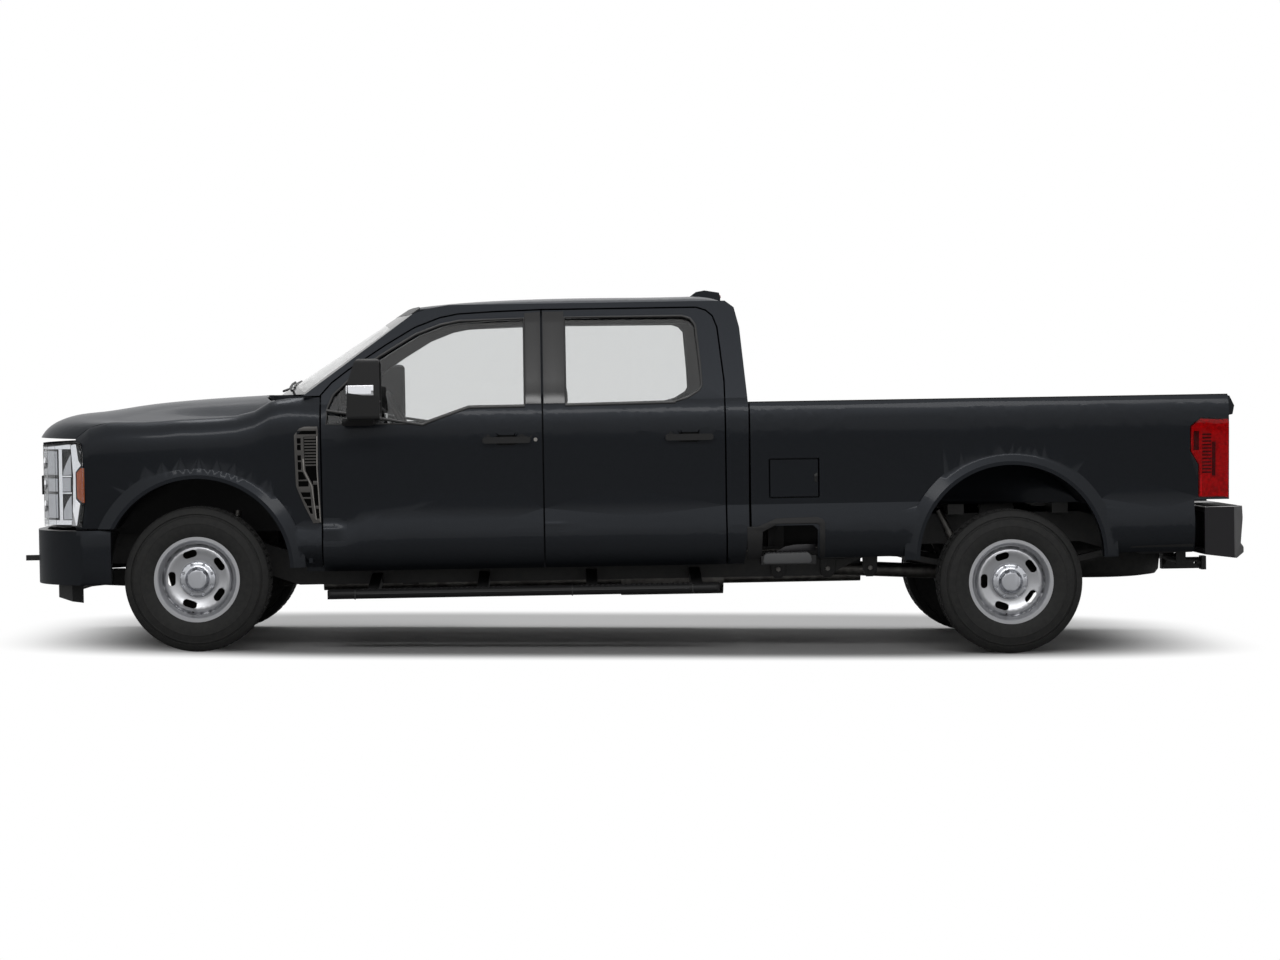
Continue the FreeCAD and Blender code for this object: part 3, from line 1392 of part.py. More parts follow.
def hitch():
    # Square receiver tube on a cross tube between plates under the rails' ends.
    half = receiver_width / 2.0
    room = receiver_room / 2.0
    tube = block(receiver_x, receiver_end_x, -half, half, receiver_z - half, receiver_z + half)
    tube = tube.fuse(block(receiver_end_x - receiver_collar, receiver_end_x, -half - receiver_lip, half + receiver_lip,
                           receiver_z - half - receiver_lip, receiver_z + half + receiver_lip))
    plate = receiver_width / 5.0
    pieces = [tube]
    cross_x = receiver_x + hitch_tube_radius
    cross = cross_rod(cross_x, -rail_half, rail_half, hitch_tube_z, hitch_tube_radius)
    for side in (-1.0, 1.0):
        y = side * rail_half
        pieces.append(block(receiver_x, rear_bumper_x, y - plate, y + plate, hitch_tube_z - hitch_tube_radius,
                            rail_z + rail_end_rise))
    whole = fused(pieces + [cross])
    whole = whole.cut(block(receiver_x + 2.0 * hitch_tube_radius, receiver_end_x + overrun, -room, room,
                            receiver_z - room, receiver_z + room))
    return whole.cut(cross_rod(hitch_pin_x, -receiver_width, receiver_width, receiver_z, hitch_pin_radius))


def bed_cap():
    # Moulded cap along the top of the bed side.
    return block(bed_front_x, bed_corner_x, -side_half_width + rail_cap_inset, -bed_inner_half, bed_rail_z,
                 bed_rail_z + rail_cap)


rail_shares = ((0.0, 0.0), (0.093, 0.0), (0.154, 0.0), (0.215, 1.0), (0.68, 1.0), (0.735, 2.0), (0.905, 2.0),
               (0.94, 3.0), (1.0, 3.0))
middle_cross_share = 0.53


def rail_outline():
    levels = (rail_front_rise, 0.0, rail_rear_rise, rail_end_rise)
    low = []
    for along, level in rail_shares:
        low.append((between(front_rail_x, rear_bumper_x, along), rail_z + levels[int(level)]))
    return low + [(x, z + rail_depth) for x, z in low[::-1]]


def rail_top(x):
    # Height of the rail's upper face at a place along it.
    high = rail_outline()[len(rail_shares):][::-1]
    for (x_low, z_low), (x_high, z_high) in zip(high[:-1], high[1:]):
        if x_low <= x <= x_high:
            return between(z_low, z_high, (x - x_low) / (x_high - x_low))
    return rail_z + rail_depth


def body_mounts():
    # Rubber biscuits on the rails under the cab floor.
    mounts = []
    for x in (cab_front_x + 2.0 * overrun, between(cab_front_x, cab_back_x, 0.5), cab_back_x - 3.0 * overrun):
        for side in (-1.0, 1.0):
            base = point(x, side * rail_half, rail_top(x))
            mounts.append(Part.makeCylinder(mount_radius, cab_floor_z - floor_plate - rail_top(x), base))
    return mounts


def frame():
    pieces = both_sides(side_prism(rail_outline(), -rail_half - rail_width / 2.0, -rail_half + rail_width / 2.0))
    span = rail_half - rail_width / 2.0
    low_cross = rail_z
    mid_cross = rail_z + rail_depth - cross_depth
    front_low = rail_z + rail_front_rise
    rear_low = rail_z + rail_rear_rise
    end_low = rail_z + rail_end_rise
    high_cross = rear_low + cross_depth
    for x, z in ((front_rail_x + overrun, front_low), (gearbox_cross_x, rail_z - gearbox_drop),
                 (between(cab_front_x, cab_back_x, middle_cross_share), low_cross),
                 (cab_back_x - 2.0 * overrun, mid_cross), (rear_axle_x - 8.0 * overrun, high_cross),
                 (rear_axle_x + 5.0 * overrun, high_cross),
                 (rear_bumper_x - 3.0 * overrun, end_low + rail_depth - cross_depth)):
        pieces.append(block(x, x + cross_width, -span, span, z, z + cross_depth))
    for side in (-1.0, 1.0):
        y = side * hook_half
        hook_end_x = front_rail_x + overrun
        hook = [(hook_tip_x, y - hook_bar), (hook_end_x, y - hook_bar), (hook_end_x, y + hook_bar),
                (hook_tip_x, y + hook_bar)]
        pieces.append(plan_prism(hook, hook_z - hook_bar, hook_z + hook_bar, hook_bar * 0.8))
        for z in (front_low + hook_bar, front_low + rail_depth - 2.0 * hook_bar):
            half = rail_width / 2.0
            bracket = block(-front_overhang, front_rail_x, y - half, y + half, z, z + hook_bar)
            pieces.append(bracket.common(bumper_room(bumper_shell)))
    pieces = pieces + body_mounts()
    spare_top = spare_z - disc_face + disc_dish * disc_shares[0][1] + disc_plate
    cross_z = high_cross
    pieces.append(block(rear_axle_x + 5.0 * overrun, rear_bumper_x - 2.0 * overrun, -cross_width / 2.0,
                        cross_width / 2.0, cross_z, cross_z + cross_depth * 0.5))
    pieces.append(Part.makeCylinder(mount_radius, cross_z - spare_top, point(spare_x, 0, spare_top)))
    return fused(pieces).cut(front_bumper()).cut(gearbox())


def tyre_profile():
    half = tyre_width / 2.0
    bead = tyre_bead_width / 2.0
    height = tyre_radius - rim_radius
    side = [(rim_radius, -bead + rim_wall), (rim_radius + rim_flange, -bead), (rim_radius + height * 0.5, -half),
            (tyre_radius - 3.0 * tread_crown, -half + tread_crown), (tyre_radius - tread_crown, -half + 3.6 * tread_crown)]
    return side + [(tyre_radius, 0.0)] + [(r, -y) for r, y in side[::-1]]


def tyre():
    return turned_about_y(tyre_profile())


def rim_barrel():
    half = tyre_bead_width / 2.0
    inner = rim_radius - rim_wall
    drop = 2.0 * rim_wall
    return turned_about_y([
        (rim_radius, -half + rim_wall), (rim_radius + rim_flange, -half), (rim_radius + rim_flange, -half - rim_wall),
        (rim_radius, -half - rim_wall), (inner, -half), (inner - drop, -half + 4.0 * rim_wall),
        (inner - drop, half - 4.0 * rim_wall), (inner, half), (rim_radius, half + rim_wall),
        (rim_radius + rim_flange, half + rim_wall), (rim_radius + rim_flange, half), (rim_radius, half - rim_wall),
        (rim_radius - drop, half - 4.0 * rim_wall), (rim_radius - drop, -half + 4.0 * rim_wall)])


def hand_hole(angle):
    # An oval through the disc, long across the radius.
    reach = (hand_hole_length - hand_hole_width) / 2.0
    centre = point(hand_hole_circle * math.cos(angle), -tyre_width, hand_hole_circle * math.sin(angle))
    along = point(-math.sin(angle) * reach, 0, math.cos(angle) * reach)
    radial = point(math.cos(angle) * hand_hole_width / 2.0, 0, math.sin(angle) * hand_hole_width / 2.0)
    ends = [Part.makeCylinder(hand_hole_width / 2.0, 2.0 * tyre_width, centre.add(along), point(0, 1, 0)),
            Part.makeCylinder(hand_hole_width / 2.0, 2.0 * tyre_width, centre.sub(along), point(0, 1, 0))]
    corners = [centre.add(along).add(radial), centre.sub(along).add(radial), centre.sub(along).sub(radial),
               centre.add(along).sub(radial)]
    middle = Part.Face(closed_wire(corners)).extrude(point(0, 2.0 * tyre_width, 0))
    return ends[0].fuse(ends[1]).fuse(middle)


disc_shares = ((0.0, 0.2), (0.3, 0.2), (0.42, 0.75), (0.62, 0.45), (0.8, 0.0), (0.9, 0.1), (1.0, 1.0))


def rim_disc():
    # The dished disc: a raised ring outside, a hollow with hand holes, and the hub's pad.
    bore = spindle_radius + running_gap
    edge = rim_radius - 3.0 * rim_wall
    front = [(between(bore, edge, out), -disc_face + disc_dish * back) for out, back in disc_shares]
    back = [(r, y + disc_plate) for r, y in front[::-1]]
    disc = turned_about_y(front + back)
    for number in range(hand_hole_count):
        disc = disc.cut(hand_hole(2.0 * math.pi * (number + 0.5) / hand_hole_count))
    return disc


def hub_cap():
    # A skirt with a ring of notches for the wheel nuts, and a domed middle.
    start = -disc_face + disc_dish * disc_shares[0][1]
    shoulder = start - hub_skirt_reach
    tip = start - hub_reach
    cap = turned_about_y([(0.0, start), (hub_skirt_radius, start), (hub_skirt_radius - hub_round * 0.4, shoulder),
                          (hub_radius + hub_round * 0.5, shoulder - hub_round * 0.4),
                          (hub_radius - hub_round * 0.3, tip + hub_round), (hub_radius - hub_round, tip), (0.0, tip)])
    for number in range(hub_notch_count):
        angle = 2.0 * math.pi * (number + 0.5) / hub_notch_count
        x = hub_notch_circle * math.cos(angle)
        z = hub_notch_circle * math.sin(angle)
        cap = cap.cut(rod(point(x, tip, z), point(x, shoulder + hub_notch_depth, z), hub_notch_radius))
    return cap


def rim():
    return fused([rim_barrel(), rim_disc(), hub_cap()])


def at_wheel(shape, x, track, side):
    wheel = mirrored(shape) if side == "right" else shape.copy()
    y = track / 2.0 if side == "right" else -track / 2.0
    wheel.translate(point(x, y, tyre_radius))
    return wheel


spindle_end = disc_face - disc_dish * disc_shares[0][1]


def knuckle():
    # Left knuckle: a fork on the kingpin with the spindle that carries the wheel.
    half = beam_width / 2.0 + panel_gap
    low = tyre_radius - kingpin_height / 2.0
    high = tyre_radius + kingpin_height / 2.0
    body = block(-half, half, -kingpin_half - 2.0 * half, -kingpin_half + half, low, high)
    room = block(-overrun, overrun, -kingpin_half - half - panel_gap * 0.5, overrun - kingpin_half,
                 tyre_radius - beam_depth / 2.0 - panel_gap * 2.0, tyre_radius + beam_depth / 2.0 + panel_gap * 2.0)
    bore = Part.makeCylinder(kingpin_radius + running_gap, 2.0 * kingpin_height,
                             point(0, -kingpin_half, tyre_radius - kingpin_height))
    spindle_y = -front_track / 2.0 - spindle_end
    spindle = cross_rod(0, spindle_y, -kingpin_half - 1.5 * half, tyre_radius, spindle_radius)
    return fused([body.cut(room), spindle]).cut(bore)


def front_axle():
    low = tyre_radius - beam_depth / 2.0
    beam = block(-beam_width / 2.0, beam_width / 2.0, -kingpin_half, kingpin_half, low, low + beam_depth)
    pieces = [beam]
    for side in (-1.0, 1.0):
        y = side * kingpin_half
        pieces.append(Part.makeCylinder(beam_width / 2.0, beam_depth, point(0, y, low)))
        foot = point(0, y, tyre_radius - kingpin_height / 2.0)
        pieces.append(Part.makeCylinder(kingpin_radius, kingpin_height, foot))
        seat = (rail_z + rail_front_rise) / math.cos(rake) - coil_radius * math.sin(rake) - running_gap
        base = low + beam_depth
        pieces.append(Part.makeCylinder(coil_radius, seat - base, point(0, side * rail_half, base)))
    return fused(pieces)


axle_case_shares = ((0.62, -0.84), (0.94, -0.36), (0.94, 0.36), (0.62, 0.84))


def rear_axle():
    half = rear_track / 2.0
    tube = cross_rod(rear_axle_x, -half + 2.0 * overrun, half - 2.0 * overrun, rear_axle_z, axle_tube_radius)
    profile = [(0.0, -axle_case_radius)] + [(axle_case_radius * a, axle_case_radius * b)
                                            for a, b in axle_case_shares] + [(0.0, axle_case_radius)]
    case = turned_about_y(profile)
    case.translate(point(rear_axle_x, 0, rear_axle_z))
    shaft = cross_rod(rear_axle_x, -half - spindle_end, half + spindle_end, rear_axle_z, spindle_radius)
    return fused([tube, case, shaft])


def leaf_spring():
    # Arched leaves on the axle tube, hung from the rail at both ends.
    y = -rail_half - rail_width / 2.0 - leaf_width - panel_gap
    seat = rear_axle_z + axle_tube_radius - running_gap * 5.0
    low = [point(rear_axle_x - leaf_front, y, seat + leaf_camber), point(rear_axle_x, y, seat),
           point(rear_axle_x + leaf_rear, y, seat + leaf_camber)]
    high = [p.add(point(0, 0, leaf_stack)) for p in low]
    under = Part.Arc(low[0], low[1], low[2]).toShape()
    over = Part.Arc(high[2], high[1], high[0]).toShape()
    sides = [Part.makeLine(low[2], high[2]), Part.makeLine(high[0], low[0])]
    leaf = Part.Face(Part.Wire([under, sides[0], over, sides[1]])).extrude(point(0, leaf_width, 0))
    eyes = []
    rail_face = -rail_half - rail_width / 2.0
    for x in (rear_axle_x - leaf_front, rear_axle_x + leaf_rear):
        eyes.append(cross_rod(x, y, rail_face, seat + leaf_camber + leaf_stack / 2.0, leaf_stack * 0.8))
    return fused([leaf] + eyes).cut(rear_axle())


def engine():
    end_x = engine_x + engine_length
    return block(engine_x, end_x, -engine_half, engine_half, engine_low_z, engine_low_z + engine_height)


def engine_mounts():
    # Brackets from the rails to the engine's sides.
    middle = engine_x + engine_length * 0.6
    low = engine_low_z
    pieces = []
    for side in (-1.0, 1.0):
        inner = side * engine_half
        outer = side * (rail_half - rail_width / 2.0)
        pieces.append(block(middle, middle + cross_width, min(inner, outer), max(inner, outer), low, low + cross_depth))
    return pieces


def gearbox():
    start = point(engine_x + engine_length, 0, shaft_front_z)
    return Part.makeCone(gearbox_radius, gearbox_tail_radius, gearbox_length, start, point(1, 0, 0))


def drive_shaft():
    start = point(gearbox_end_x - overrun, 0, shaft_front_z)
    end = point(rear_axle_x - axle_case_radius * 0.5, 0, rear_axle_z)
    return rod(start, end, shaft_radius).cut(gearbox()).cut(rear_axle())


def fuel_tank():
    return block(tank_x, tank_x + tank_length, tank_y - tank_half, tank_y + tank_half, tank_low_z,
                 tank_low_z + tank_height)


def exhaust():
    z = rail_z - gearbox_drop - exhaust_radius
    tip_x = rear_axle_x - 12.0 * overrun
    pipe = rod(point(cab_front_x, exhaust_y, z), point(tip_x, exhaust_y, z), exhaust_radius)
    muffler_x = between(cab_front_x, rear_axle_x, muffler_share)
    can = rod(point(muffler_x, exhaust_y, z), point(muffler_x + 10.0 * overrun, exhaust_y, z), muffler_radius)
    return fused([pipe, can])


board_section_shares = ((0.0, 0.12), (0.0, 1.0), (0.93, 1.0), (1.0, 0.72), (0.98, 0.3), (0.84, 0.0),
                        (0.3, 0.04))
board_bracket_shares = (0.1, 0.38, 0.66, 0.93)


def running_board():
    # A long step with a rounded nose, on brackets from the chassis rail.
    low = board_top_z - board_sheet
    section = placed(board_section_shares, -board_inner_half, -board_outer_half, low, board_top_z)
    plan = [(board_x, -board_inner_half), (board_end_x, -board_inner_half), (board_end_x, -board_outer_half),
            (board_x, -board_outer_half)]
    pieces = [end_prism(section, board_x, board_end_x).common(plan_prism(plan, low, board_top_z, board_round))]
    rail_face = -rail_half - rail_width / 2.0
    for share in board_bracket_shares:
        x = between(board_x, board_end_x, share)
        outline = [(-board_inner_half - board_bracket, low + board_bracket_rise),
                   (-board_inner_half - board_bracket, board_top_z + board_bracket_rise),
                   (rail_face, rail_z + cross_depth), (rail_face, rail_z)]
        pieces.append(end_prism(outline, x, x + board_bracket))
    return fused(pieces)


def bed_step():
    # Side step under the notch in the bed side, on a bracket from the chassis.
    low = bed_skirt_low_z - skin * 0.6
    end_x = bed_step_x + bed_step_length
    plate = block(bed_step_x + skin * 0.4, end_x - skin * 0.4, -side_half_width + skin, -bed_inner_half, low,
                  low + 2.0 * skin)
    rail_face = -rail_half - rail_width / 2.0
    bracket = block(bed_step_x + overrun, bed_step_x + 2.0 * overrun, -bed_inner_half - skin, rail_face,
                    low, low + skin)
    return fused([plate, bracket])


dash_shares = ((0.0, 0.15), (0.0, 0.72), (0.35, 1.0), (0.62, 0.98), (0.86, 0.86), (1.0, 0.7), (0.97, 0.3),
               (0.82, 0.0))


def dashboard():
    front_x = cab_front_x + firewall_plate
    outline = placed(dash_shares, front_x, dash_back_x, dash_low_z, dash_top_z)
    dash = side_prism(outline, -cab_wall_half, cab_wall_half)
    tilt = math.radians(steering_tilt_deg)
    axis = point(math.cos(tilt), 0, math.sin(tilt))
    centre = point(steering_x, steering_y, steering_z)
    ring = Part.makeTorus(steering_radius, steering_rim, centre, axis)
    hub = Part.makeCylinder(overrun, overrun * 0.6, centre.sub(axis * (overrun * 0.5)), axis)
    column = rod(centre.sub(axis * (overrun * 5.0)), centre, steering_rim * 2.0)
    spokes = []
    for number in range(3):
        angle = math.pi / 2.0 + number * 2.0 * math.pi / 3.0
        up = point(-math.sin(tilt), 0, math.cos(tilt))
        across = point(0, 1, 0)
        tip = centre.add(up * (-math.sin(angle) * steering_radius)).add(across * (math.cos(angle) * steering_radius))
        spokes.append(rod(centre, tip, steering_rim * 0.8))
    return fused([dash, column, hub, ring] + spokes)


def seat_back_outline(x_back, depth):
    low = seat_base_z + skin
    return [(x_back, low), (x_back + depth, low), (x_back + depth + seat_lean, seat_back_top_z),
            (x_back + depth * 0.3 + seat_lean, seat_back_top_z)]


front_seat_sides = ((-front_seat_outer_half, -front_seat_inner_half), (front_seat_inner_half, front_seat_outer_half))


def front_seats():
    seats = []
    for y_low, y_high in front_seat_sides:
        cushion = block(front_seat_x, front_seat_back_x, y_low, y_high, seat_base_z, seat_top_z)
        rest = side_prism(seat_back_outline(front_seat_back_x - running_gap, front_seat_back), y_low, y_high)
        seats.append(fused([cushion, rest]))
    return seats


def rear_seats():
    half = rear_seat_half
    cushion = block(rear_seat_x, rear_seat_back_x, -half, half, seat_base_z, seat_top_z)
    rest = side_prism(seat_back_outline(rear_seat_back_x - running_gap, front_seat_back * 0.6), -half, half)
    return fused([cushion, rest])


def seat_bases():
    # Pedestals between the cab floor and the cushions.
    bases = []
    inset = overrun
    for y_low, y_high in front_seat_sides:
        bases.append(block(front_seat_x + inset, front_seat_back_x, y_low + inset, y_high - inset, cab_floor_z,
                           seat_base_z))
    bases.append(block(rear_seat_x + 2.0 * inset, rear_seat_back_x, -rear_seat_half + inset, rear_seat_half - inset,
                       cab_floor_z, seat_base_z))
    return bases


def spare_wheel():
    spare = fused([tyre(), rim_barrel(), rim_disc()])
    spare.rotate(point(0, 0, 0), point(1, 0, 0), 90)
    spare.translate(point(spare_x, 0, spare_z))
    return spare


# Outlines of the mirror's head from the side and from the front, as shares of its length, width and height.
mirror_side_shares = ((0.0, 0.0), (1.0, 0.0), (1.0, 1.0), (0.3, 1.0), (0.06, 0.62))
mirror_front_shares = ((0.03, 0.0), (0.97, 0.0), (1.0, 0.4), (0.94, 1.0), (0.12, 1.0), (0.0, 0.4))


def mirror():
    # Tall towing mirror: a tapered head with a sunk glass, on an arm from the door.
    top_z = mirror_low_z + mirror_height
    side = placed(mirror_side_shares, mirror_x, mirror_x + mirror_length, mirror_low_z, top_z)
    front = placed(mirror_front_shares, -mirror_inner_half, -mirror_outer_half, mirror_low_z, top_z)
    back_x = mirror_x + mirror_length
    head = side_prism(side, -mirror_outer_half, -mirror_inner_half, mirror_round)
    head = head.common(end_prism(front, mirror_x, back_x, mirror_round))
    inset = mirror_glass_inset
    glass = placed(mirror_front_shares, -mirror_inner_half - inset, -mirror_outer_half + inset,
                   mirror_low_z + inset, top_z - inset)
    head = head.cut(end_prism(glass, back_x - mirror_glass_sink, back_x + overrun, mirror_round))
    arm_end = mirror_arm_x + mirror_arm_length
    arm_top = mirror_arm_z + mirror_arm_height
    arm = side_prism(handle_outline(mirror_arm_x, arm_end, mirror_arm_z, arm_top), -mirror_inner_half - overrun,
                     -belt_half, mirror_arm_round)
    post = block(mirror_x + 2.0 * mirror_round, arm_end - mirror_arm_round, -mirror_inner_half - overrun,
                 -mirror_inner_half - mirror_round, mirror_arm_z + mirror_arm_round, mirror_low_z + overrun)
    whole = fused([head, arm, post])
    return whole.cut(dipped_wall(door_inner_half, door_frame_depth))


def body_nodes():
    nodes = {
        "frame": [fused([frame()] + engine_mounts())],
        "engine_block": [engine()],
        "gearbox": [gearbox()],
        "drive_shaft": [drive_shaft()],
        "core_support": [core_support()],
        "radiator": [radiator()],
        "front_bumper": [front_bumper()],
        "air_dam": [air_dam()],
        "grille": [grille()],
        "headlamps": both_sides(headlamp()),
        "front_fenders": both_sides(fender()),
        "wheel_liners": both_sides(wheel_liner()),
        "cab": both_sides(cab()),
        "cab_floor": [cab_floor()],
        "cab_back": [cab_back()],
        "roof": [roof()],
        "cab_glass": [windshield(), back_window()],
        "dashboard": [dashboard()],
        "seat_bases": seat_bases(),
        "front_seats": front_seats(),
        "rear_seats": [rear_seats()],
        "running_boards": both_sides(running_board()),
        "bed_floor": [bed_floor()],
        "bed_beams": bed_beams(),
        "bed_sides": [bed_side(True), mirrored(bed_side(False))],
        "bed_steps": both_sides(bed_step()),
        "tail_lamps": both_sides(tail_lamp()),
        "rear_bumper": [rear_bumper()],
        "rear_axle": [rear_axle()],
        "leaf_springs": both_sides(leaf_spring()),
        "fuel_tank": [fuel_tank()],
        "exhaust": [exhaust()],
        "spare_wheel": [spare_wheel()],
        "hood": [hood()],
        "tailgate": [tailgate()],
        "bed_caps": both_sides(bed_cap()),
        "hitch": [hitch()],
        "fuel_door": [fuel_door()],
    }
    for end in ("front", "rear"):
        for side, shape in zip(("left", "right"), both_sides(door(end))):
            nodes[end + "_door_" + side] = [shape]
        for side, shape in zip(("left", "right"), both_sides(window_pane(end))):
            nodes[end + "_door_glass_" + side] = [shape]
    for side, shape in zip(("left", "right"), both_sides(mirror())):
        nodes["mirror_" + side] = [shape]
    return nodes


def wheel_nodes():
    nodes = {"front_axle": [front_axle()]}
    rubber = tyre()
    wheel = rim()
    for side, upright in zip(("left", "right"), both_sides(knuckle())):
        nodes["knuckle_" + side] = [upright]
        for end, x, track in (("front", 0.0, front_track), ("rear", wheelbase, rear_track)):
            nodes[end + "_tyre_" + side] = [at_wheel(rubber, x, track, side)]
            nodes[end + "_rim_" + side] = [at_wheel(wheel, x, track, side)]
    return nodes


def export(nodes, tilt_deg):
    turn = FreeCAD.Rotation(point(0, 1, 0), -tilt_deg)
    stand = FreeCAD.Placement(point(-origin_x, 0, 0), turn)
    for name, solids in nodes.items():
        shape = Part.makeCompound(solids) if len(solids) > 1 else solids[0].copy()
        shape.Placement = stand.multiply(shape.Placement)
        shape.exportStep("parts/" + name + ".step")


os.makedirs("parts", exist_ok=True)
export(body_nodes(), rake_deg)
export(wheel_nodes(), 0.0)
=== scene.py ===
# %% [markdown]
# # A crew cab pickup truck, dressed for a studio picture
#
# The truck's solids were made in a CAD program and packed as a frame of fixed meshes. This notebook gives that frame
# its camera, its light and its finishes, and then models what the solids leave out: tyre tread, lamps, grille, vents,
# handles, seals, mirrors, steps, seats and the parts under the floor. Lengths are metres. The truck faces -X and +Z
# is up.

import json
import math

import bpy
from mathutils import Matrix, Vector

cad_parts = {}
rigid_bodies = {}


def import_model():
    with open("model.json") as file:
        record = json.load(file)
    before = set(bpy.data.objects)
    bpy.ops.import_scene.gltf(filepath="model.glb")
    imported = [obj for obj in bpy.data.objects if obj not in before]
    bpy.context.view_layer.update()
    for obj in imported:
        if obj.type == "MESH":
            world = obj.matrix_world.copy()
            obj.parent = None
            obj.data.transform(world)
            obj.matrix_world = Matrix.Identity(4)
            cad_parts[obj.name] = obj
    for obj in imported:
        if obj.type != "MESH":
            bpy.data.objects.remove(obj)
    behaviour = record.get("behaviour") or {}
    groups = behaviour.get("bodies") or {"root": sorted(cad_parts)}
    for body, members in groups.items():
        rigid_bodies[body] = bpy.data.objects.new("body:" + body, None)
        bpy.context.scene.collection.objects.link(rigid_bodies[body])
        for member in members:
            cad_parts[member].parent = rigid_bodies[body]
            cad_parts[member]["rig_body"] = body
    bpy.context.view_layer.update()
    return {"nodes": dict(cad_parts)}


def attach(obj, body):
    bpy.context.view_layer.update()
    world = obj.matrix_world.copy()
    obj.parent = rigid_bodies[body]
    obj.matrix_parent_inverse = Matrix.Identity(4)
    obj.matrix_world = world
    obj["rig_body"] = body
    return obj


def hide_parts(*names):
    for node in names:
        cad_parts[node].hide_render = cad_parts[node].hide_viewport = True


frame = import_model()
nodes = frame["nodes"]

# %% [markdown]
# ## The level body
#
# The real truck stands nose down by a little more than a degree. Body pieces are easier to model on a level truck
# whose X starts at the front axle, and one matrix then tips each finished piece into its place. The wheels stay
# upright.

# %% The matrix of the body
RAKE = math.radians(1.2)
FRONT_TIP = Vector((-1.016, 0, 0.510))
REAR_TIP = Vector((5.791, 0, 0.455))


def along(point):
    return point.x * math.cos(RAKE) - point.z * math.sin(RAKE)


ORIGIN_X = (along(FRONT_TIP) + along(REAR_TIP)) / 2
ON_BODY = Matrix.Translation((-ORIGIN_X, 0, 0)) @ Matrix.Rotation(-RAKE, 4, "Y")
ON_GROUND = Matrix.Translation((-ORIGIN_X, 0, 0))
SIDES = (("left", -1), ("right", 1))
print("front axle at x =", round(-ORIGIN_X, 4))

# %% [markdown]
# ## The camera
#
# The photograph was taken from the truck's left with a long lens, so that the far wheels show only a little. The
# place, turn and lens below are those of a camera that was fitted to the wheels, arches and bumpers of the
# photograph.

# %% Camera
CAMERA_PLACE = Vector((2.029 - ORIGIN_X, -17.421, 1.364))
YAW, PITCH, ROLL = 0.023836, 0.024955, 0.004142
LENS = 3001.8 / 1280 * 36

ahead = Vector((math.sin(YAW) * math.cos(PITCH), math.cos(YAW) * math.cos(PITCH), -math.sin(PITCH)))
right = Vector((math.cos(YAW), -math.sin(YAW), 0))
up = right.cross(ahead)
turned_right = right * math.cos(ROLL) + up * math.sin(ROLL)
turned_up = up * math.cos(ROLL) - right * math.sin(ROLL)

bpy.ops.object.camera_add()
camera = bpy.context.object
camera.data.lens = LENS
camera.data.sensor_width = 36
camera.data.clip_end = 200
axes = Matrix((turned_right, turned_up, -ahead)).transposed().to_4x4()
camera.matrix_world = Matrix.Translation(CAMERA_PLACE) @ axes
bpy.context.scene.camera = camera
print("lens", round(LENS, 1), "mm")

# %% [markdown]
# ## Finishes
#
# Every finish is a small node tree on Principled BSDF. One helper adds a node, another turns the hex colours of a
# paint card into the linear numbers that Blender works with.

# %% Helpers for materials
def linear(hex_colour, alpha=1.0):
    values = []
    for start in (1, 3, 5):
        share = int(hex_colour[start:start + 2], 16) / 255
        values.append(share / 12.92 if share <= 0.04045 else ((share + 0.055) / 1.055) ** 2.4)
    return (*values, alpha)


def add_node(material, kind, inputs=(), **settings):
    """Adds a node, sets its properties, and fills or links its inputs."""
    node = material.node_tree.nodes.new(kind)
    for name, value in settings.items():
        setattr(node, name, value)
    for socket, value in dict(inputs).items():
        if isinstance(value, bpy.types.NodeSocket):
            material.node_tree.links.new(value, node.inputs[socket])
        else:
            node.inputs[socket].default_value = value
    return node


def new_material(name, colour, roughness, metallic=0.0, **sockets):
    """A Principled BSDF with its even values set on its own sockets."""
    material = bpy.data.materials.new(name)
    material.use_nodes = True
    shader = material.node_tree.nodes["Principled BSDF"]
    shader.inputs["Base Color"].default_value = linear(colour)
    shader.inputs["Roughness"].default_value = roughness
    shader.inputs["Metallic"].default_value = metallic
    for socket, value in sockets.items():
        shader.inputs[socket.replace("_", " ")].default_value = value
    return material


def shader_of(material):
    return material.node_tree.nodes["Principled BSDF"]


def link(material, source, node, socket):
    material.node_tree.links.new(source, node.inputs[socket])


def noise(material, millimetres, detail):
    """Noise of a given grain size on Object coordinates."""
    place = add_node(material, "ShaderNodeTexCoord")
    node = add_node(material, "ShaderNodeTexNoise", {"Vector": place.outputs["Object"], "Scale": 1000 / millimetres,
                                                     "Detail": detail})
    return node.outputs["Fac"]


def speckle(material, millimetres, low, high):
    """Spreads noise between two colours and makes it the base colour."""
    ramp = add_node(material, "ShaderNodeValToRGB", {"Fac": noise(material, millimetres, 3.0)})
    ramp.color_ramp.elements[0].position = 0.35
    ramp.color_ramp.elements[1].position = 0.65
    ramp.color_ramp.elements[0].color = linear(low)
    ramp.color_ramp.elements[1].color = linear(high)
    link(material, ramp.outputs["Color"], shader_of(material), "Base Color")


def grain(material, millimetres, depth, strength):
    """A bump of a given grain size and depth, in millimetres."""
    bump = add_node(material, "ShaderNodeBump", {"Height": noise(material, millimetres, 2.0), "Strength": strength,
                                                 "Distance": depth / 1000})
    link(material, bump.outputs["Normal"], shader_of(material), "Normal")


# %% Finishes of the body
# Dark grey metallic paint: fine flake under a clear coat, so it is nearly black where it faces you and silvery at a
# glance.
paint = new_material("satin_metallic_paint", "#1d2024", 0.38, 0.6, Coat_Weight=0.15, Coat_Roughness=0.1,
                     Specular_IOR_Level=0.3, Specular_Tint=(0.5, 0.51, 0.53, 1.0))
speckle(paint, 1.6, "#191b1f", "#222529")

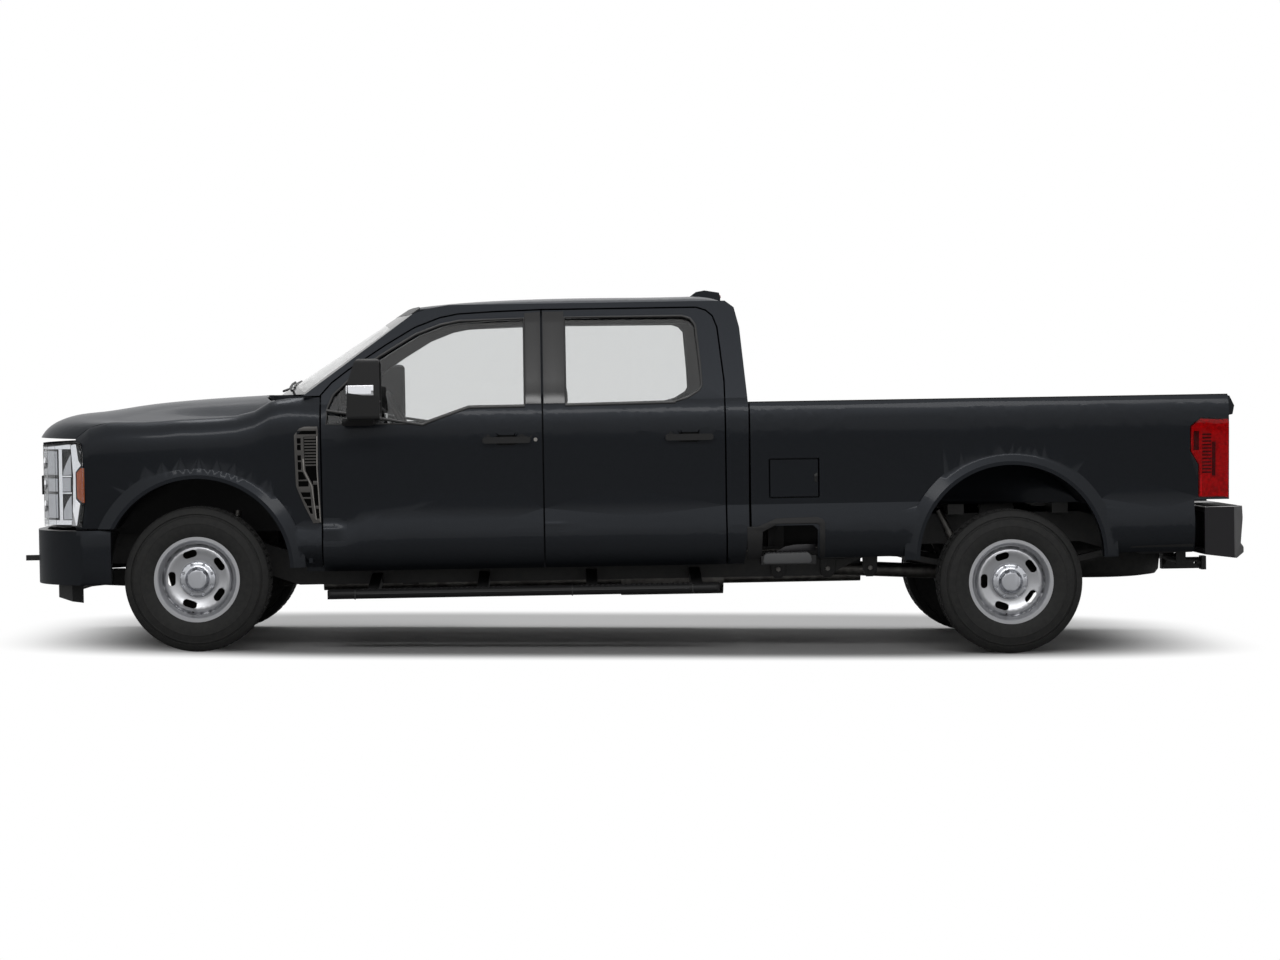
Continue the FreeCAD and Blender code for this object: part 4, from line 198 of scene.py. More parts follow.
# Grained polypropylene, as moulded: dull, with a leather-like grain that is drawn a little coarse so that it shows.
black_plastic = new_material("grained_polypropylene", "#0e0e0f", 0.62, Specular_IOR_Level=0.35)
grain(black_plastic, 3.0, 0.4, 0.35)

# Smooth gloss ABS for pillar covers and bezels.
gloss_black = new_material("gloss_black_abs", "#0b0b0c", 0.18)

# Wax coated chassis steel: black with dust.
chassis_black = new_material("waxed_chassis_steel", "#131314", 0.55, 0.1)
speckle(chassis_black, 45, "#0f0f10", "#1b1a19")
grain(chassis_black, 6.0, 0.5, 0.2)

# Sand cast iron, raw and a little rusted.
cast_iron = new_material("sand_cast_iron", "#2b2926", 0.7, 0.45)
speckle(cast_iron, 20, "#222120", "#37322d")
grain(cast_iron, 2.5, 0.6, 0.4)

# Tempered glass: thin, slightly green, with almost no roughness.
glass = new_material("tempered_glass", "#e8e9e9", 0.0, Transmission_Weight=1.0, IOR=1.45)

# Vulcanised rubber: dark grey with a soft sheen and a bloom that lightens it.
rubber = new_material("vulcanised_rubber", "#1c1c1c", 0.72, Specular_IOR_Level=0.35)
speckle(rubber, 30, "#1a1a1a", "#232322")
grain(rubber, 1.5, 0.2, 0.2)

# Silver powder coat on the steel wheels.
wheel_silver = new_material("silver_powder_coat", "#b4b5b8", 0.32, 0.75)
grain(wheel_silver, 1.2, 0.05, 0.12)

# The hub caps: plated plastic, brighter than the powder coat round them.
cap_bright = new_material("plated_abs_cap", "#bcbec3", 0.24, 0.95)

# Aluminised exhaust tube.
aluminised = new_material("aluminised_steel", "#6b6a67", 0.45, 0.9)
speckle(aluminised, 60, "#5a5856", "#777572")

# Lenses of clear and red acrylic and polycarbonate: polished, so that only an edge or a highlight shows them.
red_lens = new_material("red_acrylic", "#c8142c", 0.03, Transmission_Weight=1.0, IOR=1.3)
clear_lens = new_material("clear_polycarbonate", "#f2f3f4", 0.02, Transmission_Weight=1.0, IOR=1.3)

# Behind a red lens: moulded red reflectors with prisms, which glow where light reaches them.
red_reflector = new_material("red_moulded_reflector", "#d81c36", 0.3, 0.3)
speckle(red_reflector, 14, "#b81428", "#f02c48")

# Painted shade: a near-black red that stands for an unlit chamber behind a red lens.
painted_shade_red = new_material("red_painted_shade", "#2b0710", 0.3, Coat_Weight=0.3)

# Behind a clear lens: pressed optics that scatter, so they look like frosted silver.
optic = new_material("fluted_lamp_optic", "#b9bbbf", 0.22, 0.6)
grain(optic, 5.0, 1.2, 0.7)

# The dashboard and the door cards: soft foamed vinyl with a fine grain, dull enough not to mirror in the windshield.
soft_trim = new_material("soft_touch_dashboard", "#1d1d1f", 0.75)
grain(soft_trim, 2.5, 0.3, 0.3)
# Seats: flat woven polyester. Weft and warp are two crossed waves, drawn coarser than real so that they show.
seat_cloth = new_material("woven_seat_cloth", "#38393c", 0.9, Sheen_Weight=0.3)
place = add_node(seat_cloth, "ShaderNodeTexCoord")
weft = add_node(seat_cloth, "ShaderNodeTexWave", {"Vector": place.outputs["Object"], "Scale": 1000 / 4 / 20,
                                                  "Distortion": 0.6}, bands_direction="X")
warp = add_node(seat_cloth, "ShaderNodeTexWave", {"Vector": place.outputs["Object"], "Scale": 1000 / 4 / 20,
                                                  "Distortion": 0.6}, bands_direction="DIAGONAL")
cross = add_node(seat_cloth, "ShaderNodeMath", {0: weft.outputs["Fac"], 1: warp.outputs["Fac"]}, operation="MULTIPLY")
yarn = add_node(seat_cloth, "ShaderNodeValToRGB", {"Fac": cross.outputs["Value"]})
yarn.color_ramp.elements[0].color = linear("#2c2d30")
yarn.color_ramp.elements[1].color = linear("#48494d")
link(seat_cloth, yarn.outputs["Color"], shader_of(seat_cloth), "Base Color")
thread = add_node(seat_cloth, "ShaderNodeBump", {"Height": cross.outputs["Value"], "Strength": 0.4, "Distance": 0.0006})
link(seat_cloth, thread.outputs["Normal"], shader_of(seat_cloth), "Normal")
# The roof's lining is a brushed knit in warm grey, and the floor has a black needle felt.
headliner = new_material("brushed_knit_headliner", "#8b8a86", 0.95, Sheen_Weight=0.2)
grain(headliner, 2.0, 0.2, 0.3)
carpet = new_material("needle_felt_carpet", "#202022", 1.0)
grain(carpet, 3.0, 1.0, 0.6)

# Silvered mirror glass, and chrome plating on the reflectors and the lamp bezels.
mirror_silver = new_material("silvered_mirror_glass", "#d8dade", 0.03, 1.0)
chrome = new_material("chrome_plate", "#e6e7ea", 0.07, 1.0)

# The rear bumper: dark painted steel with a rougher coat than the body.
dark_bumper = new_material("dark_painted_steel", "#1c1b1e", 0.42, 0.3, Coat_Weight=0.15, Specular_IOR_Level=0.35)

# The fender's vent: moulded nylon with a warm grey satin paint. The pale satin metal is nickel plate on the door lock;
# on the vent it draws thin lines along the hollow's edges, which are painted highlights.
vent_grey = new_material("satin_painted_nylon", "#4f4d4b", 0.4, 0.3)
vent_light = new_material("satin_nickel_and_painted_highlight", "#96938f", 0.3, 0.6)

# The step beside the bed: thermoplastic rubber that has greyed in the sun.
step_grey = new_material("greyed_thermoplastic_rubber", "#4e4f50", 0.6)
grain(step_grey, 2.0, 0.3, 0.3)

# Painted shade: a matte near-black sheet set deep in recesses and gaps, where hardly any light returns.
painted_shade_black = new_material("painted_recess_shade", "#050505", 1.0, Specular_IOR_Level=0.1)

# Extruded rubber seals, and amber acrylic for markers.
seal_rubber = new_material("extruded_rubber_seal", "#0d0d0e", 0.5)
amber_lens = new_material("amber_acrylic", "#9d4300", 0.1, Coat_Weight=0.5)
print("materials:", len(bpy.data.materials))

# %% [markdown]
# ## Dressing the frame
#
# A CAD mesh is a bag of loose triangles. A copy of each with its doubles merged can be shaded smooth over its curves
# and sharp at its edges. Long thin triangles would still streak a painted panel, so each corner's normal is then
# weighted by the size of the faces round it, which is what makes a pressed sheet read as one.

# %% Smooth copies of the CAD pieces
def deselect():
    if bpy.context.mode != "OBJECT":
        bpy.ops.object.mode_set(mode="OBJECT")
    bpy.ops.object.select_all(action="DESELECT")


def only(piece):
    deselect()
    piece.select_set(True)
    bpy.context.view_layer.objects.active = piece


def edit_all():
    """Opens the active piece in edit mode with everything selected."""
    bpy.ops.object.mode_set(mode="EDIT")
    bpy.ops.mesh.select_all(action="SELECT")


def apply_modifier(piece, kind, **settings):
    only(piece)
    modifier = piece.modifiers.new(kind.title(), kind)
    for name, value in settings.items():
        setattr(modifier, name, value)
    bpy.ops.object.modifier_apply(modifier=modifier.name)


FINISH = {
    "frame": chassis_black, "engine_block": cast_iron, "gearbox": cast_iron, "drive_shaft": aluminised,
    "core_support": chassis_black, "radiator": chassis_black, "front_bumper": paint, "air_dam": black_plastic,
    "grille": black_plastic, "headlamps": gloss_black, "front_fenders": paint, "wheel_liners": black_plastic,
    "cab": paint, "cab_floor": paint, "cab_back": paint, "roof": paint, "cab_glass": glass, "dashboard": soft_trim,
    "seat_bases": soft_trim, "front_seats": seat_cloth, "rear_seats": seat_cloth, "running_boards": black_plastic,
    "bed_floor": paint, "bed_beams": chassis_black, "bed_sides": paint, "bed_steps": black_plastic,
    "bed_caps": black_plastic, "tail_lamps": red_reflector, "rear_bumper": dark_bumper, "rear_axle": cast_iron,
    "leaf_springs": chassis_black, "fuel_tank": black_plastic, "exhaust": aluminised, "spare_wheel": rubber,
    "hood": paint, "tailgate": paint, "fuel_door": paint, "front_axle": cast_iron, "hitch": chassis_black,
}


def finish_of(name):
    if name in FINISH:
        return FINISH[name]
    for part, finish in (("glass", glass), ("door", paint), ("mirror", black_plastic), ("knuckle", cast_iron),
                         ("tyre", rubber), ("rim", wheel_silver)):
        if part in name:
            return finish
    return chassis_black


def smooth_copy(name, degrees=28):
    """A merged copy of a CAD node, shaded smooth below an angle, in the node's place."""
    source = nodes[name]
    copy = source.copy()
    copy.data = source.data.copy()
    copy.name = name + "_panel"
    copy.parent = None
    for key in list(copy.keys()):
        del copy[key]
    bpy.context.scene.collection.objects.link(copy)
    only(copy)
    edit_all()
    bpy.ops.mesh.remove_doubles(threshold=0.00002)
    bpy.ops.object.mode_set(mode="OBJECT")
    bpy.ops.object.shade_smooth_by_angle(angle=math.radians(degrees))
    apply_modifier(copy, "WEIGHTED_NORMAL", keep_sharp=True)
    copy.data.materials.clear()
    copy.data.materials.append(finish_of(name))
    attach(copy, source["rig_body"])
    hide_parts(name)
    return copy


SHARPER = {"front_fenders": 10, "bed_sides": 10, "cab": 13, "roof": 13, "front_door_left": 13, "front_door_right": 13,
           "rear_door_left": 13, "rear_door_right": 13}
panels = {name: smooth_copy(name, SHARPER.get(name, 28)) for name in sorted(nodes)
          if "tyre" not in name and name not in ("front_seats", "rear_seats")}
print("dressed", len(panels), "pieces")

# %% [markdown]
# ## Second finishes on one panel
#
# A door is painted outside and trimmed inside, and its pull handle is black. Such a part of a panel is picked by the
# place and the direction of its faces on the level body, and gets a finish of its own.

# %% Pick faces by place and direction
TO_LEVEL = ON_BODY.inverted()


def give_faces(piece, finish, test):
    """Gives a finish to the faces whose middle, in level millimetres, and direction pass a test."""
    if piece.data.materials.find(finish.name) < 0:
        piece.data.materials.append(finish)
    index = piece.data.materials.find(finish.name)
    turn = TO_LEVEL.to_3x3()
    count = 0
    for face in piece.data.polygons:
        if test(TO_LEVEL @ face.center * 1000, turn @ face.normal):
            face.material_index = index
            count += 1
    return count


def side_half(z):
    """Half width of the body at a height, in millimetres, from the section of its side."""
    rows = ((430, 928), (495, 978), (567, 999), (649, 997), (757, 979), (863, 985), (1033, 997), (1180, 1003),
            (1274, 993), (1345, 965), (1884, 786))
    for (low, start), (high, end) in zip(rows[:-1], rows[1:]):
        if z <= high:
            return start + (end - start) * (z - low) / (high - low)
    return rows[-1][1]


for side, sign in SIDES:
    for end in ("front", "rear"):
        door = panels[end + "_door_" + side]
        start = 1583 if end == "front" else 2583
        handle = give_faces(door, black_plastic, lambda p, n: start - 2 < p.x < start + 264 and 1113 < p.z < 1155)
        inner = give_faces(door, soft_trim, lambda p, n: n.y * sign < -0.5 and abs(p.y) < side_half(p.z) - 40)
        print(door.name, "handle faces", handle, "inner faces", inner)
    give_faces(panels["mirror_" + side], mirror_silver,
               lambda p, n: n.x > 0.9 and 1030 < p.x < 1036 and abs(p.y) > 1085)
give_faces(panels["cab"], soft_trim, lambda p, n: p.y * n.y < 0 and abs(p.y) < 880)
give_faces(panels["roof"], headliner, lambda p, n: n.z < -0.3)
give_faces(panels["cab_floor"], carpet, lambda p, n: n.z > 0.5 and 700 < p.x < 3000 and p.z < 1000 and abs(p.y) < 780)
give_faces(panels["cab_back"], soft_trim, lambda p, n: n.x < -0.5)
# %% [markdown]
# ## Tools of the trade
#
# Nearly every new piece starts as a primitive whose corners are moved to an outline, then it is pulled out, bevelled
# and laid in place. These helpers hold the steps that repeat. Outlines are given in millimetres on the level body.

# %% Start a piece, and cut a plate to an outline
PLANES = {"side": lambda a, b, depth: (a, depth, b), "front": lambda a, b, depth: (depth, a, b),
          "plan": lambda a, b, depth: (a, b, depth)}


def square(low_a, high_a, low_b, high_b):
    return [(low_a, low_b), (high_a, low_b), (high_a, high_b), (low_a, high_b)]


def begin(kind, name, **settings):
    """Adds a primitive with nothing else selected, and opens it in edit mode."""
    deselect()
    getattr(bpy.ops.mesh, "primitive_" + kind + "_add")(**settings)
    piece = bpy.context.object
    piece.name = name
    bpy.ops.object.mode_set(mode="EDIT")
    return piece


def soften(piece, width, segments=2, angle=40):
    apply_modifier(piece, "BEVEL", width=width / 1000, segments=segments, limit_method="ANGLE",
                   angle_limit=math.radians(angle))
    return piece


def plate(name, corners, low, high, plane="side", bevel=0.0, segments=2):
    """A ring of points moved to an outline, filled, and pulled out from one depth to another."""
    piece = begin("circle", name, vertices=len(corners), radius=1)
    bpy.ops.object.mode_set(mode="OBJECT")
    for vertex, (a, b) in zip(piece.data.vertices, corners):
        vertex.co = Vector(PLANES[plane](a, b, low)) / 1000
    edit_all()
    bpy.ops.mesh.edge_face_add()
    pull = Vector(PLANES[plane](0, 0, high - low)) / 1000
    bpy.ops.mesh.extrude_region_move(TRANSFORM_OT_translate={"value": pull})
    bpy.ops.mesh.select_all(action="SELECT")
    bpy.ops.mesh.normals_make_consistent(inside=False)
    bpy.ops.object.mode_set(mode="OBJECT")
    return soften(piece, bevel, segments) if bevel else piece


def bar(name, low, high, bevel=2.0, segments=2):
    """A squared bar between two opposite corners, with softened edges."""
    return plate(name, square(low[0], high[0], low[2], high[2]), low[1], high[1], "side", bevel, segments)


def tube(name, points, radius, closed=False, smooth=False, sides=4):
    """A pipe along points in level millimetres: a curve with a round bevel, made a mesh."""
    deselect()
    curve = bpy.data.curves.new(name, "CURVE")
    curve.dimensions = "3D"
    line = curve.splines.new("NURBS" if smooth else "POLY")
    line.points.add(len(points) - 1)
    for spot, place in zip(line.points, points):
        spot.co = (*(Vector(place) / 1000), 1)
    line.use_cyclic_u = closed
    if smooth:
        line.order_u = 3
        line.use_endpoint_u = not closed
    curve.bevel_depth = radius / 1000
    curve.bevel_resolution = sides
    curve.use_fill_caps = not closed
    piece = bpy.data.objects.new(name, curve)
    bpy.context.scene.collection.objects.link(piece)
    only(piece)
    bpy.ops.object.convert(target="MESH")
    return bpy.context.object


def turned(name, profile, steps=64, axis="Y", place=(0, 0, 0)):
    """A profile of (radius, depth) in millimetres, spun round an axis and closed."""
    piece = begin("circle", name, vertices=len(profile), radius=1)
    bpy.ops.object.mode_set(mode="OBJECT")
    for vertex, (radius, depth) in zip(piece.data.vertices, profile):
        spot = {"Y": (0, depth, radius), "X": (depth, 0, radius), "Z": (radius, 0, depth)}[axis]
        vertex.co = Vector(spot) / 1000
    edit_all()
    turn = {"Y": (0, 1, 0), "X": (1, 0, 0), "Z": (0, 0, 1)}[axis]
    bpy.ops.mesh.spin(steps=steps, angle=2 * math.pi, center=(0, 0, 0), axis=turn)
    bpy.ops.mesh.select_all(action="SELECT")
    bpy.ops.mesh.remove_doubles(threshold=0.00001)
    bpy.ops.mesh.normals_make_consistent(inside=False)
    bpy.ops.object.mode_set(mode="OBJECT")
    piece.data.transform(Matrix.Translation(Vector(place) / 1000))
    return piece


def hand_over(piece, finish, body="root", matrix=ON_BODY, smooth=35):
    """Tips the mesh into its place, shades and finishes it, and lets it ride on a body."""
    only(piece)
    bpy.ops.object.transform_apply(location=True, rotation=True, scale=True)
    bpy.ops.object.shade_smooth_by_angle(angle=math.radians(smooth))
    piece.data.transform(matrix)
    if not piece.data.materials or not any(piece.data.materials):
        piece.data.materials.clear()
        piece.data.materials.append(finish)
    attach(piece, body)
    return piece


def other_side(piece):
    """A copy across the truck's middle, with its own mesh, turned right side out."""
    twin = piece.copy()
    twin.data = piece.data.copy()
    twin.name = piece.name.replace("left", "right")
    bpy.context.scene.collection.objects.link(twin)
    twin.data.transform(Matrix.Scale(-1, 4, (0, 1, 0)))
    twin.data.flip_normals()
    body = piece["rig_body"].replace("left", "right")
    twin.parent = None
    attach(twin, body)
    return twin


def both_sides(piece, finish, body="root"):
    """Hands a left piece over, and makes its twin on the right."""
    return other_side(hand_over(piece, finish, body))


def lay_on(piece, panel, axis="Y", start=-3.0, turn=1, level=0.0):
    """Moves each point onto a panel's skin, met along an axis of the level body.

    How far a point was from a level is its depth from the skin. A point beyond the skin's edge goes as far as the
    nearest point that met the skin.
    """
    number = {"X": 0, "Y": 1, "Z": 2}[axis]
    way = Vector((0, 0, 0))
    way[number] = turn
    spots = [TO_LEVEL @ vertex.co for vertex in piece.data.vertices]
    met = {}
    for index, spot in enumerate(spots):
        source = spot.copy()
        source[number] = start
        hit, place, normal, face = panel.ray_cast(ON_BODY @ source, ON_BODY.to_3x3() @ way)
        if hit:
            met[index] = (TO_LEVEL @ place)[number]
    for vertex, (index, spot) in zip(piece.data.vertices, enumerate(spots)):
        nearest = index if index in met else min(met, key=lambda other: (spots[other] - spot).length_squared)
        target = spot.copy()
        target[number] += met[nearest] - level / 1000
        vertex.co = ON_BODY @ target
    return piece


def both_laid(piece, finish, panel, body="root"):
    """Hands a left piece over, presses it onto a panel's skin, and makes its twin on the right."""
    hand_over(piece, finish, body)
    return other_side(lay_on(piece, panel))


def carve(piece, *cutters):
    """Cuts one piece after another out of a piece."""
    for cutter in cutters:
        apply_modifier(piece, "BOOLEAN", object=cutter, operation="DIFFERENCE", solver="EXACT")
        bpy.data.objects.remove(cutter)
    return piece


def repeated(piece, count, step):
    """A row of copies in one mesh, a step apart in millimetres."""
    apply_modifier(piece, "ARRAY", count=count, use_relative_offset=False, use_constant_offset=True,
                   constant_offset_displace=Vector(step) / 1000)
    return piece


def skin_patch(name, panel, planes, test, lift=0.0, thickness=2.0, finish=None, body=None, bevel=0.0):
    """Cuts a copy of a panel at planes given on the level body, keeps the faces that pass a test, and thickens them."""
    piece = panel.copy()
    piece.data = panel.data.copy()
    piece.name = name
    piece.parent = None
    for key in list(piece.keys()):
        del piece[key]
    bpy.context.scene.collection.objects.link(piece)
    only(piece)
    bpy.ops.object.mode_set(mode="EDIT")
    turn = ON_BODY.to_3x3()
    for place, normal in planes:
        bpy.ops.mesh.select_all(action="SELECT")
        bpy.ops.mesh.bisect(plane_co=ON_BODY @ (Vector(place) / 1000), plane_no=turn @ Vector(normal))
    bpy.ops.object.mode_set(mode="OBJECT")
    back = TO_LEVEL.to_3x3()
    for face in piece.data.polygons:
        face.select = not test(TO_LEVEL @ face.center * 1000, back @ face.normal)
    bpy.ops.object.mode_set(mode="EDIT")
    bpy.ops.mesh.select_mode(type="FACE")
    bpy.ops.mesh.delete(type="FACE")
    bpy.ops.mesh.select_all(action="SELECT")
    if lift:
        bpy.ops.transform.shrink_fatten(value=lift / 1000)
    bpy.ops.object.mode_set(mode="OBJECT")
    apply_modifier(piece, "SOLIDIFY", thickness=thickness / 1000, offset=-1, use_even_offset=True)
    if bevel:
        soften(piece, bevel)
    only(piece)
    bpy.ops.object.shade_smooth_by_angle(angle=math.radians(30))
    piece.data.materials.clear()
    piece.data.materials.append(finish)
    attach(piece, body or panel["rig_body"])
    return piece


def shrink(piece, depth):
    """Moves the whole skin of a piece inwards, in metres."""
    only(piece)
    edit_all()
    bpy.ops.transform.shrink_fatten(value=-depth)
    bpy.ops.object.mode_set(mode="OBJECT")


def cut_across(piece, spacing, axis="Z"):
    """Cuts a piece at even levels, so that it can bend to a curved skin."""
    only(piece)
    bpy.ops.object.mode_set(mode="EDIT")
    number = {"X": 0, "Y": 1, "Z": 2}[axis]
    values = [vertex.co[number] for vertex in piece.data.vertices]
    low, high = min(values), max(values)
    count = max(1, round((high - low) * 1000 / spacing))
    normal = [0, 0, 0]
    normal[number] = 1
    for step in range(1, count):
        spot = [0, 0, 0]
        spot[number] = low + (high - low) * step / count
        bpy.ops.mesh.select_all(action="SELECT")
        bpy.ops.mesh.bisect(plane_co=spot, plane_no=normal)
    bpy.ops.object.mode_set(mode="OBJECT")
    return piece


print("tools ready")
# %% [markdown]
# ## Tyres
#
# A truck tyre is a moulded carcass with raised rings on its side walls and rows of tread blocks. Its profile is spun
# once round the axle, and then every block is made by pulling out the faces between the grooves. Sixty blocks a row
# are close to the real pitch. One tyre is made and copied to the four wheels.

# %% One tyre, then four
TYRE_SIDE = [(214, 86), (217, 94), (226, 99.5), (240, 107.5), (262, 116), (288, 121), (303, 121.8), (305, 123.2),
             (308, 123.2), (310, 121.4), (328, 118.5), (343, 115.5), (345, 117), (348, 116.6), (350, 113.6),
             (357, 111), (372, 105.5), (384, 97), (389, 84)]
TREAD = [(390.5, 60), (391, 37), (391.5, 13)]
PITCHES = 60


def in_block(face, low, high):
    """True where a face lies in a band of the tread, away from the groove that ends its pitch."""
    depth = abs(face.center.y * 1000)
    turn = (math.degrees(math.atan2(face.center.x, face.center.z)) % 360) / (360 / PITCHES)
    return low < depth < high and turn % 1 < 2 / 3


def make_tyre():
    outer = [(radius, -depth) for radius, depth in TYRE_SIDE + TREAD]
    inner = [(218, 80), (218, -80)]
    profile = outer + [(radius, -depth) for radius, depth in outer[::-1]] + inner
    piece = turned("front_tyre_left_tread", profile, steps=PITCHES * 3)
    only(piece)
    bpy.ops.object.mode_set(mode="EDIT")
    for low, high, lift in ((86, 112, 7.5), (37, 60, 8.0), (0, 13, 8.0)):
        bpy.ops.mesh.select_all(action="DESELECT")
        bpy.ops.object.mode_set(mode="OBJECT")
        for face in piece.data.polygons:
            away = math.hypot(face.center.x, face.center.z) * 1000
            face.select = away > 352 and in_block(face, low, high)
        bpy.ops.object.mode_set(mode="EDIT")
        bpy.ops.mesh.select_mode(type="FACE")
        bpy.ops.mesh.extrude_region_shrink_fatten(TRANSFORM_OT_shrink_fatten={"value": lift / 1000})
    bpy.ops.object.mode_set(mode="OBJECT")
    return piece


AXLES = {"front": (0.0, 868.5), "rear": (4470.0, 853.0)}
AXLE_Z = 399.65
tyre = make_tyre()
for end, (x, half) in AXLES.items():
    for side, sign in SIDES:
        name = end + "_tyre_" + side
        copy = tyre.copy()
        copy.data = tyre.data.copy()
        copy.name = name + "_tread"
        bpy.context.scene.collection.objects.link(copy)
        place = Matrix.Translation(Vector((x, sign * half, AXLE_Z)) / 1000)
        turn = Matrix.Rotation(0.0 if sign < 0 else math.pi, 4, "Z")
        copy.data.transform(place @ turn)
        hand_over(copy, rubber, end + "_wheel_" + side, ON_GROUND, smooth=30)
        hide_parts(name)
bpy.data.objects.remove(tyre)
print("tyre faces:", len(copy.data.polygons))

# %% [markdown]
# ## Wheels
#
# The pressed steel wheels come from the CAD. The cap's dome is brighter than the powder coated disc, the hollow
# behind the flange is in shade, and a snap-in valve with a rubber stem sits near the rim.

# %% Valves and the finish of the caps
for end, (x, half) in AXLES.items():
    for side, sign in SIDES:
        rim = panels[end + "_rim_" + side]
        centre = Vector((x, sign * half, AXLE_Z))


        def on_cap(p, n, centre=centre):
            ground = (ON_GROUND.inverted() @ ON_BODY @ (p / 1000)) * 1000
            away = math.hypot(ground.x - centre.x, ground.z - centre.z)
            return away < 101 and abs(ground.y) > abs(centre.y) + 40


        give_faces(rim, cap_bright, on_cap)
        stem = tube(end + "_valve_" + side, [(x - 22, sign * (half + 70), AXLE_Z - 182),
                                             (x - 23, sign * (half + 96), AXLE_Z - 178)], 4.2)
        hand_over(stem, rubber, end + "_wheel_" + side, ON_GROUND)
print("wheels finished")
# %% [markdown]
# ## Windows and pillars
#
# Round each window runs an extruded rubber seal, and along its foot a thicker one wipes the glass. Between the
# windows a gloss black cover hides the painted pillar, so that the glass reads as one dark band. The seals are tubes
# that follow the window's outline on the leaning side of the cab. Everything is made for the left side and copied to
# the right.

# %% Window seals
WINDOWS = {
    "front": [(730, 1235), (734, 1316), (769, 1396), (853, 1474), (1013, 1599), (1220, 1722), (1360, 1774),
              (1460, 1793), (1816, 1801), (1816, 1322), (1510, 1320), (1294, 1246), (1258, 1230)],
    "rear": [(2039, 1324), (2039, 1803), (2690, 1801), (2734, 1786), (2762, 1750), (2783, 1525), (2789, 1416),
             (2774, 1388), (2708, 1348), (2642, 1330)],
}


def on_side(x, z, lift=0.0):
    return (x, -side_half(z) - lift, z)


for end, outline in WINDOWS.items():
    seal = tube(end + "_window_seal_left", [on_side(x, z, -5) for x, z in outline], 8.0, closed=True, sides=3)
    both_sides(seal, seal_rubber, end + "_door_left")
    low = [(x, z) for x, z in outline if z < 1335]
    low = sorted(low)[1:] if end == "front" else sorted(low)
    wiper = tube(end + "_belt_seal_left", [on_side(x, z - 6, 0) for x, z in low], 9.0, sides=3)
    both_sides(wiper, seal_rubber, end + "_door_left")
print("seals:", 8)

# %% Gloss covers on the middle pillar
for end, low_x, high_x in (("front", 1820, 1906), ("rear", 1919, 2036)):
    outline = [(low_x, 1330), (high_x, 1330), (high_x, 1838), (low_x, 1832 if end == "front" else 1838)]
    cover = plate(end + "_pillar_cover_left", outline, -2.5, 3.0, "side", 1.2)
    cut_across(cover, 60)
    both_laid(cover, gloss_black, panels[end + "_door_left"], end + "_door_left")

# %% [markdown]
# ## The fender's vent
#
# Behind the front wheel a moulded grey surround holds cells in front and a ribbed plate behind. The black in the cells
# and between the ribs is a flat plate of painted shade, and thin pale lines along the hollow's edges are painted
# highlights. The vent lies on the fender's skin, so its parts are cut across and pressed onto that skin.

# %% Vent
VENT = [(556, 1180), (584, 1216), (612, 1226), (684, 1225), (687, 1176), (683, 992), (686, 912), (692, 791), (694, 700),
        (651, 697), (604, 793), (569, 880), (561, 903), (558, 1035)]


def vent_piece(name, outline, low, high, finish, bevel=1.0, holes=()):
    piece = plate(name, outline, low, high, "side")
    carve(piece, *(plate("hole", hole, low - 5, high + 5, "side") for hole in holes))
    cut_across(piece, 45)
    if bevel:
        soften(piece, bevel)
    return both_laid(piece, finish, panels["front_fenders"])


cells = [square(570, 677, 1184, 1203), square(571, 592, 1134, 1164), square(571, 592, 1098, 1128),
         square(572, 592, 1042, 1070), square(573, 592, 990, 1034), [(574, 936), (619, 938), (600, 978), (574, 982)],
         square(574, 630, 899, 929), [(585, 868), (638, 867), (640, 841), (596, 841)],
         [(599, 833), (641, 831), (643, 792), (620, 792)], [(624, 784), (644, 784), (650, 748), (636, 750)]]
hollow = [(607, 1170), (677, 1170), (674, 990), (678, 912), (684, 791), (687, 722), (664, 722), (655, 900), (615, 985),
          (609, 1050)]
vent_piece("vent_surround_left", VENT, -8, 3, vent_grey, 1.2, cells + [hollow])
# The hollow is a flat near-black plate behind the cells and ribs: its black is painted shade.
vent_piece("vent_hollow_left", [(565, 1178), (612, 1215), (680, 1214), (676, 990), (688, 710), (655, 708), (570, 900)],
           -1.5, 2, painted_shade_black, 0)
# Thin pale lines along the hollow's edges: painted highlights.
vent_piece("vent_trim_front_left", [(606, 1050), (609, 988), (650, 900), (671, 716), (665, 716), (644, 898), (603, 984),
                                    (600, 1050)], -10, -1, vent_light)
vent_piece("vent_trim_rear_left", [(678, 1172), (683, 1172), (680, 992), (683, 912), (692, 704), (687, 704), (678, 910),
                                   (675, 992)], -10, -1, vent_light)
ribs = plate("vent_ribs_left", square(611, 674, 1160, 1168), -7, -1, "side")
repeated(ribs, 10, (0, 0, -16.5))
both_laid(ribs, vent_grey, panels["front_fenders"])
for number, (low, high) in enumerate(((908, 928), (776, 792))):
    vent_piece(f"vent_bridge_{number}_left", square(654 + number * 10, 684, low, high), -6, -1, vent_grey)
print("vent done")

# %% [markdown]
# ## Small trim of the side
#
# The front doors have a lock cylinder behind the handle: a turned, nickel plated plug. The fuel door is opened at a
# small notch, which takes a fingertip; the notch is a flat gloss black plate, and its black is painted shade in the
# recess.

# %% Door lock and the fuel door's finger notch
lock = turned("door_lock_left", [(0, -6), (9, -6), (11, -4), (11, 8), (0, 8)], steps=24)
lock.data.transform(Matrix.Translation((1.872, 0, 1.134)))
hand_over(lock, vent_light, "front_door_left")
for vertex in lock.data.vertices:
    vertex.co.y -= 0.999
other_side(lock)
# Painted shade: the notch's recess is drawn as a gloss black plate.
notch = plate("fuel_door_notch", [(3396, 880), (3414, 872), (3414, 926), (3396, 918)], -2.5, 4, "side", 1.5)
hand_over(notch, gloss_black, "fuel_door")
lay_on(notch, panels["fuel_door"])
print("side trim done")
